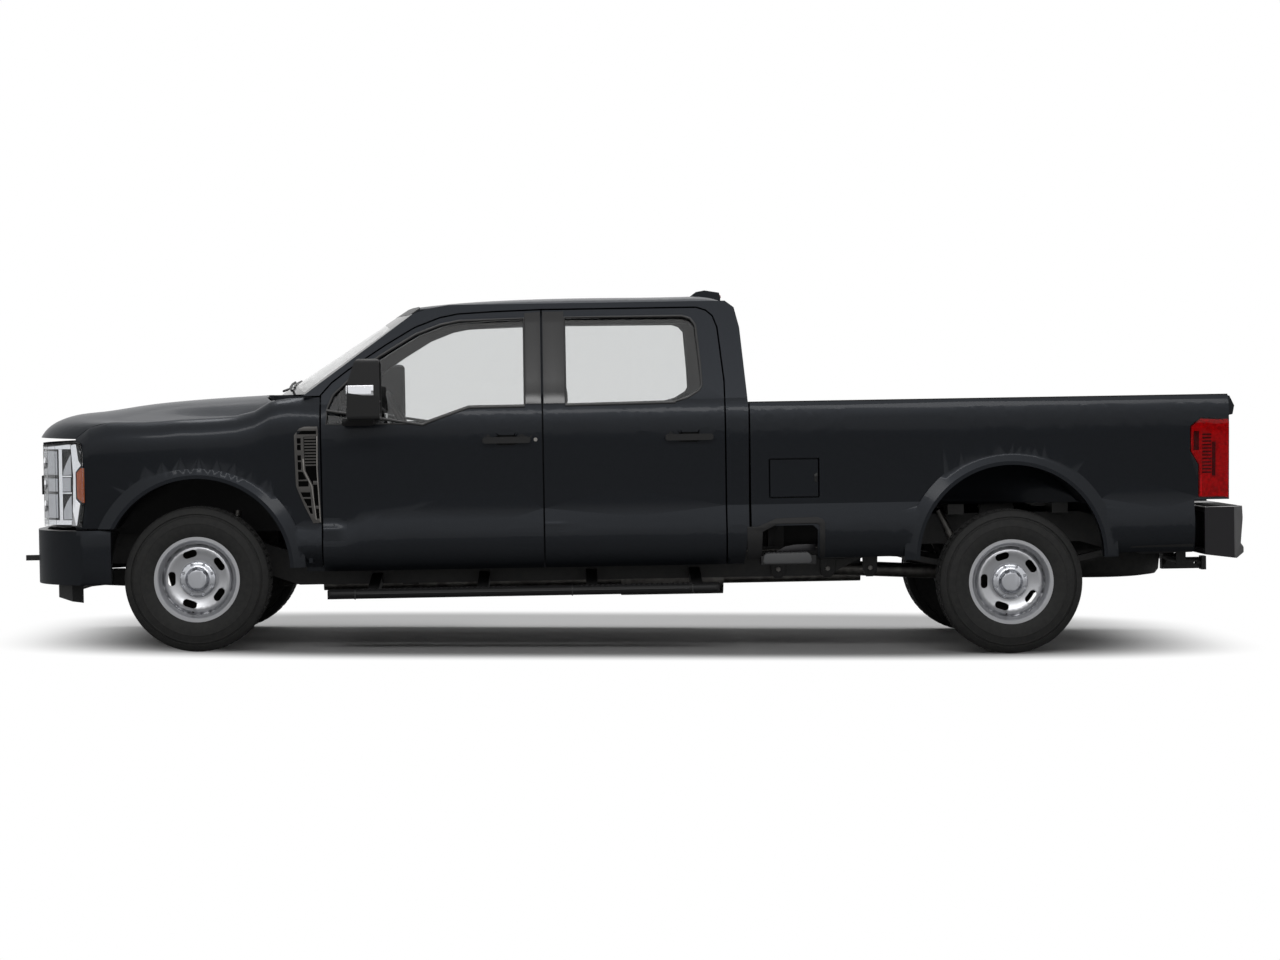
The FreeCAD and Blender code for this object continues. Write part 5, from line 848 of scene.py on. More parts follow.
# %% [markdown]
# ## Hinge covers
#
# The lower hinges sit so near the door's skin that a shallow painted cover closes the skin over each of them. It is a
# small grid whose rows follow the skin's section, and it fades into the skin towards the rear.

# %% Covers over the lower hinges
def section(rows, z):
    for (low, start), (high, end) in zip(rows[:-1], rows[1:]):
        if z <= high:
            return start + (end - start) * max(0.0, z - low) / (high - low)
    return rows[-1][1]


def hinge_cover(end, start, rows):
    piece = begin("grid", end + "_hinge_cover_left", x_subdivisions=8, y_subdivisions=12, size=1)
    bpy.ops.object.mode_set(mode="OBJECT")
    door = panels[end + "_door_left"]
    low, high = rows[0][0], rows[-1][0]
    for vertex in piece.data.vertices:
        x = start + 1.5 + (vertex.co.x + 0.5) * 128
        z = low + (vertex.co.y + 0.5) * (high - low)
        source = ON_BODY @ Vector((max(x, start + 100) / 1000, 0, z / 1000))
        source.y = -3
        hit, place, normal, index = door.ray_cast(source, Vector((0, 1, 0)))
        share = min(1.0, max(0.0, (x - start - 78) / 50))
        depth = section(rows, z) * (1 - share) + (-place.y * 1000 + 0.6) * share
        vertex.co = Vector((x, -depth, z)) / 1000
    apply_modifier(piece, "SOLIDIFY", thickness=0.0009, offset=0)
    only(piece)
    edit_all()
    bpy.ops.mesh.normals_make_consistent(inside=False)
    bpy.ops.object.mode_set(mode="OBJECT")
    return both_sides(piece, paint, end + "_door_left")


hinge_cover("front", 704, [(600, 999.2), (620, 998.4), (640, 997.6), (662, 996.6), (676, 990.5), (700, 982.4),
                           (724, 981.2)])
hinge_cover("rear", 1917, [(640, 999.0), (655, 997.4), (672, 996.2), (684, 992.8), (700, 990.0)])
print("hinge covers done")
# %% [markdown]
# ## Towing mirrors
#
# The tall black head comes from the CAD. A clear marker lamp wraps its front at mid height between two split lines,
# and a small round-cornered pane below the main glass shows a wider view.

# %% Mirror lamp, split lines and panes
lamp = plate("mirror_lamp_left", [(870, -1130), (862, -1150), (862, -1280), (874, -1299), (1000, -1300), (1000, -1293),
                                  (878, -1292), (868, -1278), (868, -1152), (874, -1136)], 1398, 1436, "plan", 2.0)
both_sides(lamp, clear_lens, "front_door_left")
strip = plate("mirror_bezel_left", [(872, -1128), (864, -1150), (864, -1279), (876, -1297), (1012, -1298.5),
                                    (1012, -1290), (880, -1288), (872, -1276), (872, -1154), (880, -1134)],
              1390, 1444, "plan", 1.5)
both_sides(strip, chrome, "front_door_left")
divider = bar("mirror_divider_left", (1025, -1280, 1352), (1036, -1090, 1362), 2)
both_sides(divider, black_plastic, "front_door_left")
print("mirrors done")
# %% [markdown]
# ## Headlamps
#
# A lamp is a black housing with chromed reflectors behind a clear moulded lens that wraps the corner. The CAD solid
# gives the lens's outside. Its copy is shrunk to make the housing, strips of the housing's own skin become the
# reflectors, and the solid's outer faces, thickened inwards, are the lens.

# %% Housing and lens
lamps = panels["headlamps"]


def faces_out(p, n):
    return n.x < -0.15 or n.y * p.y > abs(p.y) * 0.15


skin_patch("headlamp_lens", lamps, [], faces_out, 0.0, 3.0, clear_lens)
skin_patch("headlamp_flange", lamps, [], lambda p, n: n.z > 0.4, -0.5, 5.0, seal_rubber)
shrink(lamps, 0.018)


def levels(*heights):
    return [((0, 0, z), (0, 0, 1)) for z in heights]


# %% Rails and front reflectors, cut from the housing's skin
for name, low, high in (("top", 1124, 1150), ("bottom", 702, 736)):
    skin_patch(f"headlamp_rail_{name}", lamps, levels(low, high) + [((-668, 0, 0), (1, 0, 0))],
               lambda p, n: low < p.z < high and p.x < -668 and faces_out(p, n), 8, 6, chrome, bevel=2.0)
for number, (low, high) in enumerate(((984, 1114), (892, 964), (746, 878))):
    cuts = levels(low, high) + [((-750, 0, 0), (1, 0, 0)), ((0, 668, 0), (0, 1, 0)), ((0, -668, 0), (0, 1, 0))]
    skin_patch(f"headlamp_reflector_{number}", lamps, cuts,
               lambda p, n: low < p.z < high and p.x < -750 and abs(p.y) > 668 and faces_out(p, n), 6, 5, optic,
               bevel=3.0)


# %% Band, bars and optics of the lamp's side
def lamp_piece(name, outline, low, high, finish, bevel=1.2):
    piece = plate(name, outline, low, high, "side")
    cut_across(piece, 22, "X")
    if bevel:
        soften(piece, bevel)
    return both_laid(piece, finish, lamps)


BAND = [(-668, 1124), (-668, 1146), (-640, 1152), (-617, 1112), (-614, 1034), (-644, 998), (-644, 852), (-622, 822),
        (-642, 705), (-668, 705), (-662, 836), (-658, 977)]
MARKER = [(-639, 994), (-616, 1019), (-596, 1020), (-596, 830), (-609, 830), (-639, 858)]
lamp_piece("headlamp_band_left", BAND, -9, 1, chrome)
lamp_piece("headlamp_marker_left", MARKER, -8, 1, amber_lens)
lamp_piece("headlamp_bar_left", square(-743, -722, 732, 1124), -9, 1, chrome)
lamp_piece("headlamp_cross_high_left", square(-722, -668, 971, 980), -9, 1, chrome)
lamp_piece("headlamp_cross_low_left", square(-722, -668, 880, 888), -9, 1, chrome)
lamp_piece("headlamp_high_optic_left", [(-719, 982), (-714, 1012), (-692, 1058), (-671, 1098), (-668, 984)], -6, 1,
           optic)
lamp_piece("headlamp_centre_optic_left", square(-740, -673, 892, 967), -6, 1, optic)
lamp_piece("headlamp_low_optic_left", [(-719, 738), (-719, 786), (-697, 836), (-671, 872), (-668, 740)], -6, 1, optic)

# %% Projector lenses of the front
for side, sign in SIDES:
    for z, radius in ((1048, 27), (928, 24), (812, 27)):
        source = ON_BODY @ Vector((-1.5, sign * 0.745, z / 1000))
        hit, place, normal, index = lamps.ray_cast(source, Vector((1, 0, 0)))
        level = TO_LEVEL @ place * 1000
        spot = (level.x - 8, sign * 745, z)
        ring = turned(f"headlamp_ring_{z}_{side}", [(radius, 6), (radius, -2), (radius + 2, -5), (radius + 7, -3),
                                                    (radius + 8, 6)], steps=40, axis="X", place=spot)
        hand_over(ring, chrome)
        dome = turned(f"headlamp_dome_{z}_{side}", [(0, -radius * 0.3), (radius * 0.5, -radius * 0.26),
                                                    (radius * 0.85, -radius * 0.1), (radius, 3), (radius, 6), (0, 6)],
                      steps=40, axis="X", place=spot)
        hand_over(dome, gloss_black)
print("headlamps done")

# %% [markdown]
# ## Windshield
#
# The glass has a black ceramic border that hides the glue, two wipers parked at its foot, and a mirror behind it. The
# border is the glass's own skin, cut parallel to its edges.

# %% Border of the glass
panes = panels["cab_glass"]


def side_edge(p):
    """Half width of the border's inner edge at a height, in millimetres."""
    return 868 - 52 + (p.z - 1395) / (1838 - 1395) * (762 - 868)


lean = Vector((0, 443, 106)).normalized()
cuts = [((0, 816, 1395), lean), ((0, -816, 1395), Vector((0, -lean.y, lean.z)))]
cuts += [((492, 0, 1478), (0.52, 0, 0.85)), ((1010, 0, 1798), (0.52, 0, 0.85))]


def on_border(p, n):
    if p.x > 1500 or not (n.z > 0.3 or n.x < -0.3):
        return False
    height = (p.x * 0.52 + p.z * 0.85)
    return abs(p.y) > side_edge(p) or height < 492 * 0.52 + 1478 * 0.85 or height > 1010 * 0.52 + 1798 * 0.85


skin_patch("windshield_border", panes, cuts, on_border, 1.0, 1.0, gloss_black)

# %% Moulding between the glass and the roof
def meeting(panel, y, places):
    """Where a ray from above first meets a panel among places along X, and that place, in level millimetres."""
    for x in places:
        source = ON_BODY @ Vector((x / 1000, y / 1000, 0))
        source.z = 3
        hit, place, normal, index = panel.ray_cast(source, Vector((0, 0, -1)))
        if hit:
            return TO_LEVEL @ place * 1000, x
    return None, None


moulding = begin("grid", "windshield_moulding", x_subdivisions=4, y_subdivisions=40, size=1)
bpy.ops.object.mode_set(mode="OBJECT")
for vertex in moulding.data.vertices:
    y = vertex.co.y * 1460
    foot = meeting(panes, y, range(1400, 1000, -2))[0]
    roof_start = meeting(panels["roof"], y, range(1000, 1500, 2))[1]
    top = meeting(panels["roof"], y, (roof_start + 34,))[0]
    vertex.co = ((foot + Vector((-12, 0, -5))).lerp(top + Vector((0, 0, 3)), vertex.co.x + 0.5)) / 1000
apply_modifier(moulding, "SOLIDIFY", thickness=0.004, offset=0)
hand_over(moulding, seal_rubber)

# %% Wipers
def over_glass(pivot_y, tip_y, shares, foot_z, rise, missed_z, gap_x, gap_z):
    """Points of a wiper a little off the glass. Where a ray misses the glass, the point lies at the cowl."""
    points = []
    for share in shares:
        y = pivot_y + (tip_y - pivot_y) * share
        source = ON_BODY @ Vector((0.3, y / 1000, (foot_z + rise * share) / 1000))
        hit, place, normal, index = panes.ray_cast(source, Vector((1, 0, 0)))
        level = TO_LEVEL @ place * 1000 if hit else Vector((560, y, missed_z))
        points.append((level.x - gap_x, y, level.z + gap_z))
    return points


for number, (pivot_y, tip_y) in enumerate(((-640, -40), (-20, 560))):
    arm = over_glass(pivot_y, tip_y, (0.0, 0.06, 0.3, 0.6, 0.8), 1418, 62, 1425, 14, 12)
    hand_over(tube(f"wiper_arm_{number}", arm, 7, sides=3), black_plastic)
    blade = over_glass(pivot_y, tip_y, (0.28, 0.5, 0.75, 1.0), 1428, 55, 1440, 5, 5)
    hand_over(tube(f"wiper_blade_{number}", blade, 5, sides=3), seal_rubber)
print("windshield done")
# %% [markdown]
# ## Tail lamps
#
# Each lamp is a red shell over a moulded red reflector with ribs, a slot and a clear window for the reversing
# light; the dark of the ribs, the slot and a pocket is painted shade. As with the headlamps, the CAD solid gives the
# shell, and its shrunk copy what lies behind.

# %% Shell and reflector
tails = panels["tail_lamps"]


def tail_face(p, n):
    return n.x > 0.2 or n.y * p.y > abs(p.y) * 0.2 or n.z > 0.6


def reversing(p):
    return p.x > 5679 and 850 < p.z < 922 and abs(p.y) < 960


window = levels(850, 922) + [((0, 960, 0), (0, 1, 0)), ((0, -960, 0), (0, 1, 0))]
skin_patch("tail_lamp_shell", tails, window, lambda p, n: tail_face(p, n) and not reversing(p), 0.0, 2.5, red_lens)
skin_patch("tail_lamp_window", tails, window, lambda p, n: n.x > 0.9 and reversing(p), 0.0, 2.5, clear_lens)
shrink(tails, 0.012)


def tail_piece(name, outline, low, high, finish, copies=1, step=(0, 0, 0)):
    piece = plate(name, outline, low, high, "side", 0.8)
    if copies > 1:
        repeated(piece, copies, step)
    return both_laid(piece, finish, tails)


# %% Ribs, slot and step of the reflector
# Ribs, slot and pocket are flat plates in near-black red: their dark is painted shade.
tail_piece("tail_lamp_rib_left", square(5536, 5586, 1096, 1105), -7, 2, painted_shade_red, 12, (0, 0, -19))
tail_piece("tail_lamp_slot_left", square(5590, 5610, 872, 1060), -4, 2, painted_shade_red)
tail_piece("tail_lamp_pocket_left", square(5489, 5518, 1014, 1120), -5, 2, painted_shade_red)
tail_piece("tail_lamp_step_left", [(5489, 1008), (5516, 1004), (5534, 952), (5534, 760), (5524, 760), (5524, 940)],
           -6, 2, red_reflector)
for side, sign in SIDES:
    for number, z in enumerate((1120, 1030, 950, 800)):
        wide = plate(f"tail_lamp_band_{number}_{side}", square(sign * 885, sign * 955, z - 22, z + 22), 0, 5, "front",
                     2)
        # The lowest band takes the near-black red of painted shade.
        hand_over(wide, red_reflector if z != 800 else painted_shade_red)
        lay_on(wide, tails, "X", 6.4, -1)
    lamp = plate(f"reversing_optic_{side}", square(sign * 880, sign * 950, 856, 916), 0, 6, "front", 2)
    hand_over(lamp, optic)
    lay_on(lamp, tails, "X", 6.4, -1)
print("tail lamps done")

# %% [markdown]
# ## Tailgate, high lamp and bumper
#
# The gate's handle sits in a recess, and a red lamp with two cargo lights is let into the fairing over the back
# window. The bumper has moulded pads with treads on its top, two small lamps that would light a plate, and a round
# socket for a trailer's wiring.

# %% Handle of the gate
GATE_FACE = 5683


def gate_piece(name, outline, low, high, finish, bevel=2.0, depth=GATE_FACE):
    piece = plate(name, outline, depth + low, depth + high, "front", bevel)
    return hand_over(piece, finish, "tailgate")


def flat_ring(name, half, low_z, high_z, wall, low, high):
    piece = plate(name, square(-half, half, low_z, high_z), GATE_FACE + low, GATE_FACE + high, "front")
    carve(piece, plate("hole", square(-half + wall, half - wall, low_z + wall, high_z - wall), GATE_FACE + low - 9,
                       GATE_FACE + high + 9, "front"))
    soften(piece, 1.5)
    return hand_over(piece, black_plastic, "tailgate")


flat_ring("tailgate_bezel", 122, 1088, 1174, 13, -1, 4)
gate_piece("tailgate_paddle", [(-84, 1128), (84, 1128), (92, 1136), (92, 1156), (-92, 1156), (-92, 1136)], -22, -6,
           black_plastic, 4)
lock = turned("tailgate_lock", [(0, 0), (9, 0), (11, -2), (11, -10), (0, -10)], steps=24, axis="X",
              place=(5662, 70, 1116))
hand_over(lock, chrome, "tailgate")
gate_piece("tailgate_top_cap", square(-836, 836, 1316, 1321), -80, 20, black_plastic, 2)

# %% High lamp
for name, low_y, high_y, finish in (("high_brake_lamp", -95, 95, red_lens), ("cargo_lamp_left", -150, -103, clear_lens),
                                    ("cargo_lamp_right", 103, 150, clear_lens)):
    piece = hand_over(plate(name, square(low_y, high_y, 1922, 1938), -1, 5, "front", 1.5), finish)
    lay_on(piece, panels["roof"], "X", 5.4, -1)
    back = plate(name + "_optic", square(low_y + 2, high_y - 2, 1924, 1936), -0.5, 1.5, "front")
    hand_over(back, red_reflector if finish is red_lens else optic)
    lay_on(back, panels["roof"], "X", 5.4, -1)

# %% Bumper pads, plate lamps and socket
for side, sign in SIDES:
    pad = plate(f"bumper_pad_{side}", square(5586, 5770, sign * 338, sign * 828), 694.5, 698.5, "plan", 1.5)
    hand_over(pad, black_plastic)
    tread = plate(f"bumper_tread_{side}", square(5596, 5760, sign * 350, sign * 358), 698, 702, "plan", 1)
    hand_over(repeated(tread, 23, (0, sign * 20.8, 0)), black_plastic)
    lamp = plate(f"plate_lamp_{side}", square(sign * 200, sign * 236, 655, 671), 5782, 5795, "front", 3)
    hand_over(lamp, clear_lens)
socket = turned("trailer_socket", [(0, 0), (24, 0), (27, -3), (27, -30), (19, -34), (0, -34)], steps=40, axis="X",
                place=(5790, 196, 470))
hand_over(socket, black_plastic)
print("rear done")
# %% [markdown]
# ## Running boards and bed step
#
# The board is an extrusion with moulded end caps, and small raised cleats on its top give grip. One cleat is modelled
# and repeated along two runs, as on the real board. Behind the cab, a moulded frame rounds off the notch in the bed's
# side, and a rounded rubber-topped step sits in it.

# %% Cleats, joints and end caps of the board
for number, (start, count) in enumerate(((905, 30), (2105, 22))):
    cleat = plate(f"board_cleat_{number}_left", [(start, -975), (start + 12, -975), (start + 22, -955),
                                                 (start + 10, -955)], 325.5, 330, "plan", 1)
    repeated(cleat, 3, (4, 32, 0))
    repeated(cleat, count, (28.5, 0, 0))
    both_sides(cleat, black_plastic)
for number, x in enumerate((868, 2056, 2716)):
    ring = plate(f"board_joint_{number}_left", [(-1001.5, 276), (-1001.5, 314), (-990, 327.5), (-842, 327.5),
                                                (-842, 320), (-985, 320), (-996, 276)], x, x + 7, "front", 1)
    both_sides(ring, seal_rubber)
strip = tube("board_edge_left", [(880, -1000, 306), (2700, -1000, 306)], 3.0, sides=2)
both_sides(strip, seal_rubber)

# %% Frame and step of the bed's notch
NOTCH_FRAME = [(3024, 636), (3082, 636), (3187, 680), (3408, 684), (3440, 672), (3452, 650), (3450, 462), (3422, 462),
               (3421, 640), (3405, 648), (3190, 648), (3108, 607), (3102, 456), (3024, 456)]


def side_plate(name, outline, low, high, finish, body="root", bevel=1.5):
    """A plate that bends to the section of the body's side."""
    piece = plate(name, outline, low, high, "side")
    cut_across(piece, 30)
    if bevel:
        soften(piece, bevel)
    for vertex in piece.data.vertices:
        vertex.co.y -= side_half(vertex.co.z * 1000) / 1000
    return both_sides(piece, finish, body)


side_plate("notch_frame_left", NOTCH_FRAME, -6, 16, black_plastic)
step = plate("bed_step_pad_left", [(3108, 440), (3118, 428), (3366, 428), (3380, 442), (3372, 478), (3356, 490),
                                   (3130, 488), (3114, 476)], -985, -835, "side", 8, 3)
both_sides(step, step_grey)
tread = plate("bed_step_tread_left", square(3136, 3146, 486, 493), -975, -845, "side", 2)
repeated(tread, 9, (26, 0, 0))
both_sides(tread, seal_rubber)
back = plate("bed_step_shield_left", [(3180, 492), (3405, 492), (3405, 530), (3300, 530), (3240, 520)], -900, -890,
             "side", 2)
both_sides(back, dark_bumper)
side_plate("rear_moulding_left", [(5122, 476), (5146, 492), (5484, 499), (5484, 452), (5200, 446)], -3, 14,
           black_plastic)
print("steps done")

# %% [markdown]
# ## Under the floor
#
# Between the boards and the wheels a camera sees dampers, brake discs, brackets and lines. They are plain machined
# and painted parts: turned bodies, bent tubes and folded plates.

# %% Brake discs and calipers
DISC_INBOARD = 96  # from the middle of the tyre to the disc

for side, sign in SIDES:
    for end, (x, track) in AXLES.items():
        disc = turned(f"brake_disc_{end}_{side}", [(70, -6), (172, -6), (172, 8), (168, 22), (70, 22)], steps=64)
        place = ON_GROUND @ (Vector((x, sign * (track - DISC_INBOARD), AXLE_Z)) / 1000)
        disc.data.transform(Matrix.Translation(place))
        hand_over(disc, cast_iron, f"{end}_wheel_{side}", Matrix.Identity(4))
        clamp = plate(f"brake_caliper_{end}_{side}", [(100, -60), (150, -76), (186, -50), (192, 0), (186, 50),
                                                      (150, 76), (100, 60), (112, 0)], -34, 30, "side", 8)
        clamp.data.transform(Matrix.Translation(place))
        hand_over(clamp, cast_iron, "knuckle_" + side if end == "front" else "root", Matrix.Identity(4))

# %% Dampers and brackets
for side, sign in SIDES:
    for end, foot, top in (("front", (130, 560, 330), (190, 520, 760)), ("rear", (4300, 500, 340), (4140, 470, 690))):
        low, high = Vector((foot[0], sign * foot[1], foot[2])), Vector((top[0], sign * top[1], top[2]))
        middle = low.lerp(high, 0.52)
        body = tube(f"damper_body_{end}_{side}", [low, middle], 32, sides=8)
        hand_over(body, chassis_black)
        rod = tube(f"damper_rod_{end}_{side}", [middle, high], 20, sides=6)
        hand_over(rod, aluminised)
    line = tube(f"brake_line_{side}", [(500, sign * 500, 470), (1500, sign * 502, 476), (2600, sign * 502, 476),
                                       (3300, sign * 500, 480), (3900, sign * 498, 520)], 4.5, smooth=True)
    hand_over(line, aluminised)
    for number, x in enumerate((3180, 3460, 3700)):
        plate_piece = plate(f"frame_bracket_{number}_{side}", [(x, 470), (x + 90, 470), (x + 84, 350), (x + 62, 322),
                                                               (x + 22, 322), (x + 6, 350)], sign * 494, sign * 478,
                            "side", 3)
        hand_over(plate_piece, chassis_black)
        bolt = turned(f"bracket_bolt_{number}_{side}", [(0, 0), (13, 0), (15, 3), (15, 10), (0, 10)], steps=6,
                      place=(x + 45, sign * 500 - 5, 372))
        hand_over(bolt, aluminised)
    # Painted shade: a near-black sheet in the gap behind the cab stands for the dark there and hides the white beyond.
    shield = plate(f"gap_shield_{side}", square(2998, 3080, 560, 800), sign * 834, sign * 828, "side")
    hand_over(shield, painted_shade_black)
    stop = plate(f"bump_stop_bracket_{side}", [(4350, 590), (4590, 590), (4560, 740), (4380, 740)], sign * 474,
                 sign * 400, "side", 6)
    hand_over(stop, chassis_black)
    # Painted shade: a near-black sheet inside the rear wheelhouse, in place of the dark seen through it.
    inner = plate(f"bed_inner_shield_{side}", square(4080, 4860, 560, 700), sign * 396, sign * 392, "side")
    hand_over(inner, painted_shade_black)
    rubber_stop = turned(f"bump_stop_{side}", [(0, 0), (34, 0), (38, -12), (30, -30), (34, -42), (22, -66), (0, -70)],
                         steps=32, axis="Z", place=(4470, sign * 437, 592))
    hand_over(rubber_stop, seal_rubber)
hose = tube("loom_left", [(3420, -486, 440), (3560, -492, 426), (3720, -486, 452), (3900, -480, 440)], 9, smooth=True)
both_sides(hose, seal_rubber)
print("underbody done")
# %% [markdown]
# ## Seats
#
# A truck seat is foam on a steel pan under a sewn cloth cover. The pads start as bevelled blocks a little smaller
# than the real seat. Cloth under air pressure then crowns them and pulls their sides in, and the sewn channels are
# pressed in afterwards, because a remesh would erase them.

# %% Inflate a pad
def inflate(pad, voxel=12.0, cap=22.0, pressure=4.0):
    """Remeshes a pad evenly, blows it up as cloth, and keeps each point within a cap of its start."""
    apply_modifier(pad, "REMESH", mode="VOXEL", voxel_size=voxel / 1000)
    start = [vertex.co.copy() for vertex in pad.data.vertices]
    only(pad)
    cloth = pad.modifiers.new("Cloth", "CLOTH")
    cloth.settings.use_pressure = True
    cloth.settings.uniform_pressure_force = pressure
    cloth.settings.effector_weights.gravity = 0
    for number in range(1, 21):
        bpy.context.scene.frame_set(number)
    bpy.ops.object.modifier_apply(modifier=cloth.name)
    bpy.context.scene.frame_set(1)
    for vertex, place in zip(pad.data.vertices, start):
        move = vertex.co - place
        if move.length > cap / 1000:
            vertex.co = place + move.normalized() * cap / 1000
    return pad


def sew(pad, seams, depth=6.0, reach=16.0):
    """Presses channels along planes, each given by an axis and its place in level millimetres."""
    apply_modifier(pad, "SUBSURF", levels=1, render_levels=1)
    normals = [vertex.normal.copy() for vertex in pad.data.vertices]
    for vertex, normal in zip(pad.data.vertices, normals):
        for number, place in seams:
            away = abs(vertex.co[number] * 1000 - place)
            if away < reach and abs(normal[number]) < 0.8:
                vertex.co -= normal * depth / 1000 * (1 - away / reach) ** 2
    return pad


def cushion(name, outline, low_y, high_y, seams, bevel=34.0):
    pad = plate(name, outline, low_y, high_y, "side", bevel, 3)
    inflate(pad)
    sew(pad, seams)
    hand_over(pad, seat_cloth, smooth=60)
    return pad


# %% Front seats
def front_seat(side, middle):
    low, high = middle - 246, middle + 246
    seams = [(1, middle - 150), (1, middle + 150)]
    seat = cushion(f"front_cushion_{side}", [(1452, 790), (1470, 778), (1930, 778), (1930, 905), (1490, 918)], low,
                   high, seams + [(0, 1580)])
    rest = cushion(f"front_backrest_{side}", [(1938, 796), (2050, 796), (2026, 1486), (1944, 1486), (1930, 1200)],
                   low + 8, high - 8, seams + [(2, 1330), (2, 1010)])
    head = cushion(f"front_head_restraint_{side}", [(1940, 1538), (2022, 1538), (2026, 1690), (1950, 1698)],
                   middle - 130, middle + 130, [(1, middle - 80), (1, middle + 80)], 26.0)
    for number, offset in enumerate((-60, 60)):
        post = tube(f"front_head_post_{side}_{number}", [(1984, middle + offset, 1470), (1984, middle + offset, 1560)],
                    6)
        hand_over(post, chrome)
    shell = plate(f"front_seat_shield_{side}", [(1470, 762), (1990, 762), (2000, 850), (1930, 872), (1500, 800)],
                  (low - 10) if side == "left" else (high - 4), (low + 4) if side == "left" else (high + 10), "side", 3)
    hand_over(shell, soft_trim)
    return [seat, rest, head]


front_pads = front_seat("left", -390) + front_seat("right", 390)
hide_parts("front_seats")

# %% Rear bench
rear_seams = [(1, -233), (1, 233)]
bench = cushion("rear_cushion", [(2432, 790), (2450, 778), (2768, 778), (2768, 912), (2470, 916)], -688, 688,
                rear_seams)
cushion("rear_backrest", [(2794, 798), (2842, 798), (2928, 1486), (2878, 1486)], -688, 688,
                     rear_seams + [(2, 1330)], 22.0)
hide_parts("rear_seats")
for side, y in (("left", -420), ("middle", 0), ("right", 420)):
    cushion(f"rear_head_restraint_{side}", [(2878, 1512), (2936, 1512), (2946, 1640), (2888, 1640)], y - 120, y + 120,
            [(1, y - 70), (1, y + 70)], 22.0)
    for number, offset in enumerate((-50, 50)):
        post = tube(f"rear_head_post_{side}_{number}", [(2908, y + offset, 1470), (2908, y + offset, 1530)], 6)
        hand_over(post, chrome)
print("seats done")

# %% [markdown]
# ## Dashboard, mirror and door cards
#
# The dashboard's block gets a hood over its gauges, a screen and air outlets. Each door has an armrest
# with a pull cup, and the cabin's mirror hangs from the windshield.

# %% Dashboard
hood_piece = plate("gauge_hood", [(880, 1268), (1000, 1262), (1024, 1296), (990, 1330), (900, 1318)], -560, -210,
                   "side", 12, 3)
hand_over(hood_piece, soft_trim)
gauges = plate("gauge_glass", [(1022, 1225), (1026, 1225), (1022, 1292), (1018, 1292)], -530, -240, "side", 1)
hand_over(gauges, gloss_black)
screen = plate("centre_screen", [(1010, 1108), (1022, 1108), (1014, 1250), (1002, 1250)], -125, 125, "side", 3)
hand_over(screen, gloss_black)
for number, (low_y, high_y) in enumerate(((-735, -610), (-195, -140), (140, 195), (610, 735))):
    frame_piece = plate(f"air_outlet_{number}", [(1002, 1165), (1018, 1165), (1012, 1240), (996, 1240)], low_y, high_y,
                        "side", 4)
    hand_over(frame_piece, gloss_black)
    blade = plate(f"air_outlet_blades_{number}", [(1014, 1176), (1022, 1176), (1022, 1180), (1014, 1180)], low_y + 8,
                  high_y - 8, "side")
    repeated(blade, 5, (-0.6, 0, 12))
    hand_over(blade, soft_trim)
console = plate("floor_console", [(1030, 640), (1900, 640), (1900, 900), (1400, 900), (1120, 1000), (1030, 1080)], -110,
                110, "side", 14)
hand_over(console, soft_trim)

# %% Cabin mirror and armrests
head = plate("cabin_mirror", [(-125, 1700), (125, 1700), (132, 1732), (118, 1762), (-118, 1762), (-132, 1732)], 1080,
             1102, "front", 6)
hand_over(head, gloss_black)
pane = plate("cabin_mirror_glass", [(-116, 1706), (116, 1706), (122, 1732), (110, 1756), (-110, 1756), (-122, 1732)],
             1101, 1104, "front", 1)
hand_over(pane, mirror_silver)
stem = tube("cabin_mirror_stem", [(1084, 0, 1742), (1050, 0, 1768), (1010, 0, 1790)], 9, smooth=True)
hand_over(stem, gloss_black)
for end, low_x, high_x in (("front", 1290, 1790), ("rear", 2180, 2640)):
    rest = plate(f"armrest_{end}_left", [(low_x, 985), (low_x + 60, 1000), (high_x, 1040), (high_x, 990),
                                         (low_x + 40, 950)], -900, -850, "side", 10)
    both_sides(rest, soft_trim, end + "_door_left")
    pull = tube(f"door_pull_{end}_left", [(low_x + 80, -886, 1010), (low_x + 100, -862, 1060),
                                          (low_x + 190, -862, 1085), (low_x + 230, -886, 1070)], 11, smooth=True)
    both_sides(pull, gloss_black, end + "_door_left")
print("cabin done")
# %% [markdown]
# ## The studio
#
# A pale floor and a white background. The background is white only for what the camera, mirrors and glass see, and
# the truck itself is lit by large soft lamps from above, as a car is in a studio.

# %% Floor, world and lamps
deselect()
bpy.ops.mesh.primitive_plane_add(size=160)
floor = bpy.context.object
floor.name = "studio_floor"
floor_white = bpy.data.materials.new("painted_studio_floor")
floor_white.use_nodes = True
shader_of(floor_white).inputs["Base Color"].default_value = linear("#b8b8b8")
shader_of(floor_white).inputs["Roughness"].default_value = 0.9
floor.data.materials.append(floor_white)

# Away from the truck the floor turns into plain white for the camera, so that no horizon shows. The fade is an oval set
# towards the truck's far side and shaped to its shadow, so it also paints the shadow's soft outer edge and a grey
# halo round the truck: inside it the grey floor and its real shadow show.
spot = add_node(floor_white, "ShaderNodeTexCoord")
squeeze = add_node(floor_white, "ShaderNodeMapping", {"Vector": spot.outputs["Object"], "Location": (0, -0.25, 0),
                                                      "Scale": (0.27, 0.5, 1)})
square_of = add_node(floor_white, "ShaderNodeVectorMath", {0: squeeze.outputs["Vector"], 1: squeeze.outputs["Vector"]},
                     operation="MULTIPLY")
reach = add_node(floor_white, "ShaderNodeVectorMath", {0: square_of.outputs["Vector"]}, operation="LENGTH")
horizon_and_shadow_fade = add_node(floor_white, "ShaderNodeMapRange", {"Value": reach.outputs["Value"], "From Min": 0.5, "From Max": 1.0},
                interpolation_type="SMOOTHSTEP")
rays = add_node(floor_white, "ShaderNodeLightPath")
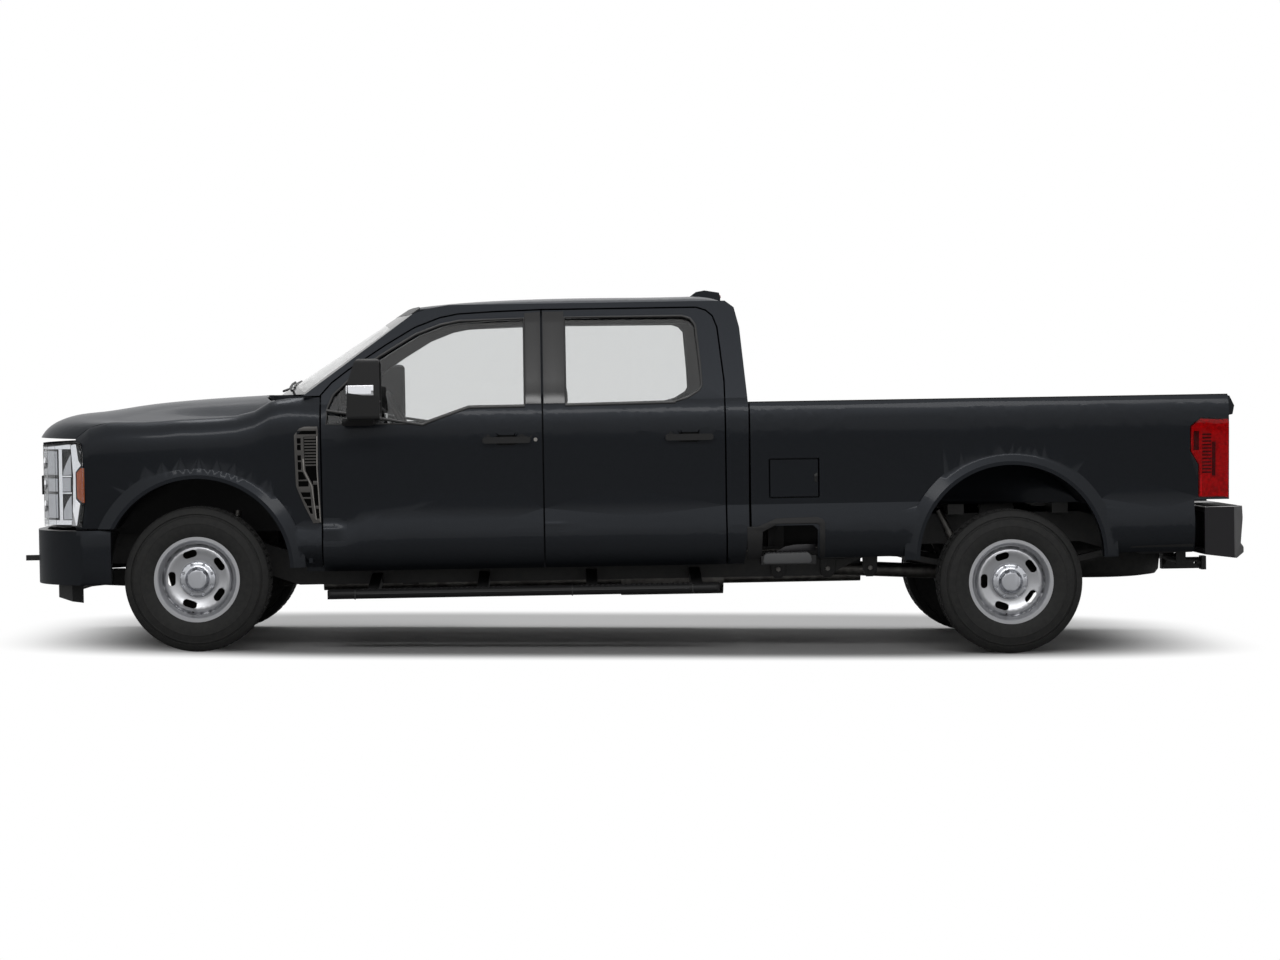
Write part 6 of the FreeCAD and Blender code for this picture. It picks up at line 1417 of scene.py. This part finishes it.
looked = add_node(floor_white, "ShaderNodeMath", {0: rays.outputs["Is Camera Ray"],
                                                  1: rays.outputs["Is Transmission Ray"]}, operation="MAXIMUM")
plain = add_node(floor_white, "ShaderNodeMath", {0: horizon_and_shadow_fade.outputs["Result"], 1: looked.outputs["Value"]},
                 operation="MULTIPLY")
white = add_node(floor_white, "ShaderNodeEmission", {"Color": (1, 1, 1, 1), "Strength": 1.0})
blend = add_node(floor_white, "ShaderNodeMixShader", {"Fac": plain.outputs["Value"],
                                                      1: shader_of(floor_white).outputs["BSDF"],
                                                      2: white.outputs["Emission"]})
link(floor_white, blend.outputs["Shader"], floor_white.node_tree.nodes["Material Output"], "Surface")

world = bpy.data.worlds.new("studio")
bpy.context.scene.world = world
world.use_nodes = True
rays = add_node(world, "ShaderNodeLightPath")
seen = add_node(world, "ShaderNodeMath", {0: rays.outputs["Is Camera Ray"], 1: rays.outputs["Is Transmission Ray"]},
                operation="MAXIMUM")
either = add_node(world, "ShaderNodeMath", {0: seen.outputs["Value"], 1: rays.outputs["Is Glossy Ray"]},
                  operation="MAXIMUM")
strength = add_node(world, "ShaderNodeMapRange", {"Value": either.outputs["Value"], "To Min": 0.11, "To Max": 1.0})
background = world.node_tree.nodes["Background"]
background.inputs["Color"].default_value = (1, 1, 1, 1)
link(world, strength.outputs["Result"], background, "Strength")


def soft_box(name, place, aim, size, power):
    deselect()
    bpy.ops.object.light_add(type="AREA", location=place)
    lamp = bpy.context.object
    lamp.name = name
    lamp.data.shape = "RECTANGLE"
    lamp.data.size, lamp.data.size_y = size
    lamp.data.energy = power
    lamp.rotation_euler = (Vector(aim) - Vector(place)).to_track_quat("-Z", "Y").to_euler()
    return lamp


soft_box("top_box", (0, 1.4, 8), (0, 0, 0), (8, 3), 560)
soft_box("side_box", (0, -10.5, 7.1), (0, 0, 0.9), (12, 1.5), 400)
soft_box("back_box", (0, 10, 7.0), (0, 0, 0.9), (12, 1.5), 50)

# %% Finish
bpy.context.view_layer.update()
scene = bpy.context.scene
scene.view_settings.view_transform = "Standard"
